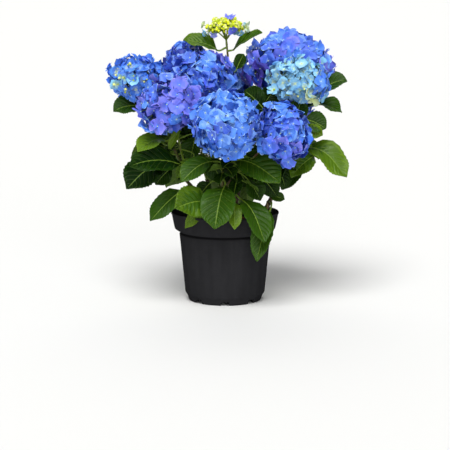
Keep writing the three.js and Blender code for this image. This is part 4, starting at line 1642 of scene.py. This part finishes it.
def build_pot():
    """The pot: turned, its foot notched, its edges rounded."""
    pot = turned_solid("pot_shell", pot_profile(), POT_SIDES)
    cutter = foot_cutter()
    select_only(pot)
    bpy.ops.object.modifier_add(type="BOOLEAN")
    notches = pot.modifiers[-1]
    notches.operation, notches.solver, notches.object = "DIFFERENCE", "EXACT", cutter
    bpy.ops.object.modifier_add(type="BEVEL")
    edges = pot.modifiers[-1]
    edges.width, edges.segments = 0.5 * MM, 2
    edges.limit_method, edges.angle_limit = "ANGLE", math.radians(40)
    apply_modifiers(pot)
    bpy.data.objects.remove(cutter)
    select_only(pot)
    bpy.ops.object.shade_smooth_by_angle(angle=math.radians(32))
    # the level where the plastic's painted shade is darkest
    groove = band_flare()[0][1] - 2.5 * MM
    give(pot, plastic_finish(groove), "pot_plastic", "pot")


COMPOST_GAP = 0.6 * MM  # between the compost's side and the wall of its node
SUNK = 6 * MM  # how much lower the compost is at the wall


def build_compost():
    """The compost: level in the middle, lower and crumbly at the wall."""
    low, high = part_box("compost")
    edge_level = high.z - SUNK
    foot = outer_radius("compost", low.z + 2 * MM) - COMPOST_GAP
    edge = outer_radius("compost", edge_level - 1 * MM) - COMPOST_GAP
    profile = [(CENTRE, low.z), (foot, low.z), (edge, edge_level)]
    for share in np.linspace(0.97, 0.04, 26):
        profile.append((edge * share, edge_level + SUNK * min(1.0, (1 - share) / 0.2)))
    compost = turned_solid("compost_surface", profile, 120)
    group = compost.vertex_groups.new(name="top")
    above = [v.index for v in compost.data.vertices if v.co.z > edge_level + 0.1 * MM]
    group.add(above, 1.0, "REPLACE")
    roughen(compost, 16 * MM, 5 * MM, "top")
    roughen(compost, 5 * MM, 2.6 * MM, "top")
    select_only(compost)
    bpy.ops.object.shade_smooth()
    give(compost, compost_finish(), "compost", "compost")


# A bark chip's length in millimetres, its width as a share of that, and its thickness.
CHIP_LENGTHS, CHIP_WIDTHS, CHIP_DEPTHS = (2.5, 9.0), (0.3, 0.7), (0.8, 2.0)


def build_chips():
    """Flat chips of bark strewn over the compost."""
    rng = chances(5)
    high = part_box("compost")[1].z
    edge = outer_radius("compost", high - 7 * MM) - 6 * MM
    count = sizes().chips
    spread = edge * np.sqrt(rng.random(count))
    turn = rng.uniform(0, TURN, count)
    level = np.where(spread > 0.8 * edge, -3.5, 0.5) * MM + rng.uniform(-1, 3, count) * MM
    places = np.stack([spread * np.cos(turn), spread * np.sin(turn), high + level], axis=1)
    lies = unit(UP + rng.normal(0, 0.35, (count, 3)))
    length_way = turned_about(facing_frame(lies)[0], lies, rng.uniform(0, TURN, count))
    width_way = np.cross(lies, length_way)
    ball, faces = bead_shape()
    blocky = np.sign(ball) * np.abs(ball) ** 0.7
    rough = blocky * (1 + rng.normal(0, 0.12, (count, len(ball), 1)))
    length = rng.uniform(*CHIP_LENGTHS, (count, 1)) * MM
    ways = [
        length_way * length,
        width_way * length * rng.uniform(*CHIP_WIDTHS, (count, 1)),
        lies * rng.uniform(*CHIP_DEPTHS, (count, 1)) * MM,
    ]
    points = places[:, None]
    for k, way in enumerate(ways):
        points = points + rough[..., k, None] * way[:, None]
    pile = Pile()
    pile.add(points, copies(faces, len(ball), count), 0)
    chips = pile.piece("bark_chips", [chip_finish()])
    select_only(chips)
    bpy.ops.object.shade_flat()
    ride_on_plant(chips, "compost")


LIMB_RINGS = 90
STEM_KNOTS, STUB_KNOTS, BOUGH_KNOTS = 31 * MM, 12 * MM, 42 * MM  # from one knot to the next
KNOT_SWELL, KNOT_LENGTH = 0.28, 2.2 * MM  # how much thicker a limb is at a knot, and for how long
BARK_RELIEF, GREEN_RELIEF = (3.5 * MM, 1.3 * MM), (4 * MM, 0.5 * MM)  # size and strength
SLENDER = 0.74  # how thick a limb is beside its solid in the model


def drawn_limb(path, radii, knots, rng):
    """A limb drawn as a curve with a round section, thickened at its knots, and made a mesh."""
    fine = np.linspace(0, 1, LIMB_RINGS)
    points = along(path, fine)
    thick = np.interp(fine, np.linspace(0, 1, len(radii)), radii)
    run = np.append(0, np.cumsum(np.linalg.norm(np.diff(points, axis=0), axis=1)))
    for knot in np.arange(knots * rng.uniform(0.4, 0.9), run[-1], knots):
        thick = thick * (1 + KNOT_SWELL * np.exp(-(((run - knot) / KNOT_LENGTH) ** 2)))
    select_only()
    bpy.ops.curve.primitive_nurbs_path_add()
    curve = bpy.context.object.data
    curve.splines.clear()
    spline = curve.splines.new("POLY")
    spline.points.add(len(points) - 1)
    for spot, point, radius in zip(spline.points, points, thick):
        spot.co, spot.radius = (*point, 1.0), radius
    curve.dimensions, curve.use_fill_caps = "3D", True
    curve.bevel_depth, curve.bevel_resolution = 1.0, 3
    bpy.ops.object.convert(target="MESH")
    with editing():
        bpy.ops.mesh.remove_doubles(threshold=0.05 * MM)
    bpy.ops.object.shade_smooth()
    return bpy.context.object


def slender(path, radii):
    """A limb as thick as a real one, which its stout solid in the model only stands for."""
    return path, radii * SLENDER


# Cut-back old wood: bearing and distance on the compost, height, lean in degrees and radius.
OLD_WOOD = [(-48, 36 * MM, 38 * MM, 14, 5.5 * MM), (-20, 44 * MM, 26 * MM, 24, 4.5 * MM)]


def old_wood(bearing, out, height, lean, radius):
    """The line and thickness of a stub of old wood."""
    foot = heading(bearing, 0) * out + UP * (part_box("compost")[1].z - 3 * MM)
    tip = foot + heading(bearing, 90 - lean) * height
    return np.linspace(foot, tip, 9), np.linspace(radius * 1.25, radius, 9)


def build_limbs(name, limbs, relief, finish, slot, *nodes):
    """Drawn limbs as one piece, roughened by a relief of some size and strength."""
    piece = joined(name, limbs)
    roughen(piece, *relief)
    give(piece, finish, slot, *nodes)


# ------------------------------------------------------------------ studio

# The lamps, broad and soft: name, bearing and climb that the light comes from, strength, and how
# broad the source looks, all angles in degrees.
LAMPS = [
    ("key", -102, 56, 3.2, 36),
    ("fill", -82, 18, 1.0, 46),
    ("back", 95, 42, 0.8, 50),
]
SKY, HORIZON = 0.14, 0.985  # how bright the studio is overhead and at its horizon
HORIZON_BAND = (0.12, 0.22)  # between which heights of a direction the bright horizon fades
FLOOR_SIZE = 400.0  # so wide that its edge meets the bright horizon
CAMERA = {"place": (0.0, -3.0, 0.65), "aim": (0.0, 0.0, 0.16), "lens": 113.7, "sensor": 36.0}


def add_lamp(name, bearing, climb, strength, breadth):
    select_only()
    bpy.ops.object.light_add(type="SUN", location=heading(bearing, climb) * 3)
    lamp = bpy.context.object
    lamp.name = "lamp_" + name
    lamp.data.energy, lamp.data.angle = strength, math.radians(breadth)
    lamp.rotation_euler = Vector(-heading(bearing, climb)).to_track_quat("-Z", "Y").to_euler()


def build_world(context):
    """A pale studio that is brightest at the horizon, where the floor runs into it."""
    world = bpy.data.worlds.new("studio")
    world.use_nodes = True
    nodes, links = world.node_tree.nodes, world.node_tree.links
    way = nodes.new("ShaderNodeTexCoord")
    split = nodes.new("ShaderNodeSeparateXYZ")
    fade = nodes.new("ShaderNodeMapRange")
    links.new(way.outputs["Generated"], split.inputs[0])
    links.new(split.outputs["Z"], fade.inputs["Value"])
    ends = ("From Min", "From Max", "To Min", "To Max")
    for socket, value in zip(ends, (*HORIZON_BAND, HORIZON, SKY)):
        fade.inputs[socket].default_value = value
    links.new(fade.outputs[0], nodes["Background"].inputs["Strength"])
    nodes["Background"].inputs["Color"].default_value = (1.0, 1.0, 1.0, 1.0)
    context.scene.world = world


def build_floor(context):
    select_only()
    bpy.ops.mesh.primitive_plane_add(size=FLOOR_SIZE, location=(0, 0, 0))
    floor = context.object
    floor.name = "floor"
    f = Finish("floor_paper")
    colour = chosen("floor")
    grain = f.noise(f.object_point(), 900.0, 2.0)
    shade = f.ramp(grain, (0.3, scaled(colour, 0.985)), (0.7, colour))
    floor.data.materials.append(f.done(Base_Color=shade, Roughness=0.9, Specular_IOR_Level=0.0))


def add_camera(context):
    select_only()
    bpy.ops.object.camera_add(location=CAMERA["place"])
    camera = context.object
    camera.name = "camera"
    camera.data.lens, camera.data.sensor_width = CAMERA["lens"], CAMERA["sensor"]
    camera.data.clip_end = FLOOR_SIZE
    way = Vector(CAMERA["aim"]) - Vector(CAMERA["place"])
    camera.rotation_euler = way.to_track_quat("-Z", "Y").to_euler()
    context.scene.camera = camera


# ------------------------------------------------------------------ operators


class HydrangeaOperator:
    bl_options = {"REGISTER", "UNDO"}


class HYDRANGEA_OT_pot(HydrangeaOperator, bpy.types.Operator):
    """Builds the nursery pot"""

    bl_idname = "hydrangea.pot"
    bl_label = "Pot"

    def execute(self, context):
        build_pot()
        return {"FINISHED"}


class HYDRANGEA_OT_compost(HydrangeaOperator, bpy.types.Operator):
    """Fills the pot with compost and strews bark chips on it"""

    bl_idname = "hydrangea.compost"
    bl_label = "Compost"

    def execute(self, context):
        build_compost()
        build_chips()
        return {"FINISHED"}


class HYDRANGEA_OT_limbs(HydrangeaOperator, bpy.types.Operator):
    """Draws the woody stems and the green boughs that fork from them"""

    bl_idname = "hydrangea.limbs"
    bl_label = "Stems and boughs"

    def execute(self, context):
        rng = chances(1)
        stems = [drawn_limb(*slender(*limb(stem)), STEM_KNOTS, rng) for stem in STEMS]
        stems += [drawn_limb(*old_wood(*stub), STUB_KNOTS, rng) for stub in OLD_WOOD]
        build_limbs("woody_stems", stems, BARK_RELIEF, bark_finish(), "stem_bark", *STEMS)
        paths = [whole_bough(short(bough)) for bough in BOUGHS]
        boughs = [drawn_limb(*slender(*path), BOUGH_KNOTS, rng) for path in paths]
        build_limbs("green_boughs", boughs, GREEN_RELIEF, shoot_finish(), "green_stem", *BOUGHS)
        return {"FINISHED"}


class HYDRANGEA_OT_heads(HydrangeaOperator, bpy.types.Operator):
    """Builds the flower heads, floret by floret, and the branching stalks inside them"""

    bl_idname = "hydrangea.heads"
    bl_label = "Flower heads"

    def execute(self, context):
        stalks = Pile()
        heads = [build_head(*item, stalks, chances(20 + k)) for k, item in enumerate(HEADS.items())]
        heads.append(build_bud_head("top", stalks, chances(50)))
        slots = {part["node"]: part["material_slot"] for part in frame["record"]["subparts"]}
        for piece, node in heads:
            ride_on_plant(piece, slots[node], node)
        finish = lamina_finish("flower_stalk", mixed(chosen("stalk"), chosen("bark"), 0.4), 0.5)
        ride_on_plant(stalks.piece("flower_stalks", [finish]), "green_stem")
        return {"FINISHED"}


class HYDRANGEA_OT_leaves(HydrangeaOperator, bpy.types.Operator):
    """Builds the large outer leaves where the model has them, and those placed among them"""

    bl_idname = "hydrangea.leaves"
    bl_label = "Outer leaves"

    def execute(self, context):
        for k, (group, starts) in enumerate(LEAF_GROUPS.items()):
            nodes = [n for n in LEAVES if short(n).startswith(starts) and n != PLACED_LEAVES[0][0]]
            piece = build_outer_leaves("leaves_" + group, nodes, chances(60 + k))
            ride_on_plant(piece, "leaf", *nodes)
        young = build_placed_leaves("leaves_young", chances(70))
        ride_on_plant(young, "leaf", PLACED_LEAVES[0][0])
        return {"FINISHED"}


class HYDRANGEA_OT_shoots(HydrangeaOperator, bpy.types.Operator):
    """Grows leafy shoots from the limbs through each mass of inner foliage"""

    bl_idname = "hydrangea.shoots"
    bl_label = "Inner shoots"

    def execute(self, context):
        for k, mass in enumerate(MASSES):
            pile = Pile()
            grow_shoots(pile, mass, sizes().shoots, chances(80 + k))
            ride_on_plant(pile.piece("shoots_" + short(mass), leaf_set()), "foliage", mass)
        return {"FINISHED"}


class HYDRANGEA_OT_stage(HydrangeaOperator, bpy.types.Operator):
    """Sets out the studio: floor, soft lights and camera"""

    bl_idname = "hydrangea.stage"
    bl_label = "Studio"

    def execute(self, context):
        build_floor(context)
        for lamp in LAMPS:
            add_lamp(*lamp)
        build_world(context)
        add_camera(context)
        context.scene.view_settings.view_transform = "Standard"
        return {"FINISHED"}


class HYDRANGEA_PT_panel(bpy.types.Panel):
    """The hydrangea's sizes, colours and builders"""

    bl_idname = "HYDRANGEA_PT_panel"
    bl_label = "Hydrangea"
    bl_space_type = "VIEW_3D"
    bl_region_type = "UI"
    bl_category = "Hydrangea"

    def draw(self, context):
        scene = context.scene
        for group in (scene.hydrangea_sizes, scene.hydrangea_colours):
            column = self.layout.column(align=True)
            for key in group.__annotations__:
                column.prop(group, key)
        column = self.layout.column()
        for operator in OPERATORS:
            column.operator(operator.bl_idname)


OPERATORS = (
    HYDRANGEA_OT_pot,
    HYDRANGEA_OT_compost,
    HYDRANGEA_OT_limbs,
    HYDRANGEA_OT_heads,
    HYDRANGEA_OT_leaves,
    HYDRANGEA_OT_shoots,
    HYDRANGEA_OT_stage,
)
CLASSES = (HydrangeaSizes, HydrangeaColours, *OPERATORS, HYDRANGEA_PT_panel)


def register():
    for cls in CLASSES:
        bpy.utils.register_class(cls)
    bpy.types.Scene.hydrangea_sizes = bpy.props.PointerProperty(type=HydrangeaSizes)
    bpy.types.Scene.hydrangea_colours = bpy.props.PointerProperty(type=HydrangeaColours)


def unregister():
    del bpy.types.Scene.hydrangea_colours
    del bpy.types.Scene.hydrangea_sizes
    for cls in reversed(CLASSES):
        bpy.utils.unregister_class(cls)


def main():
    register()
    for operator in OPERATORS:
        getattr(bpy.ops.hydrangea, operator.bl_idname.split(".")[1])()


if __name__ == "__main__":
    main()
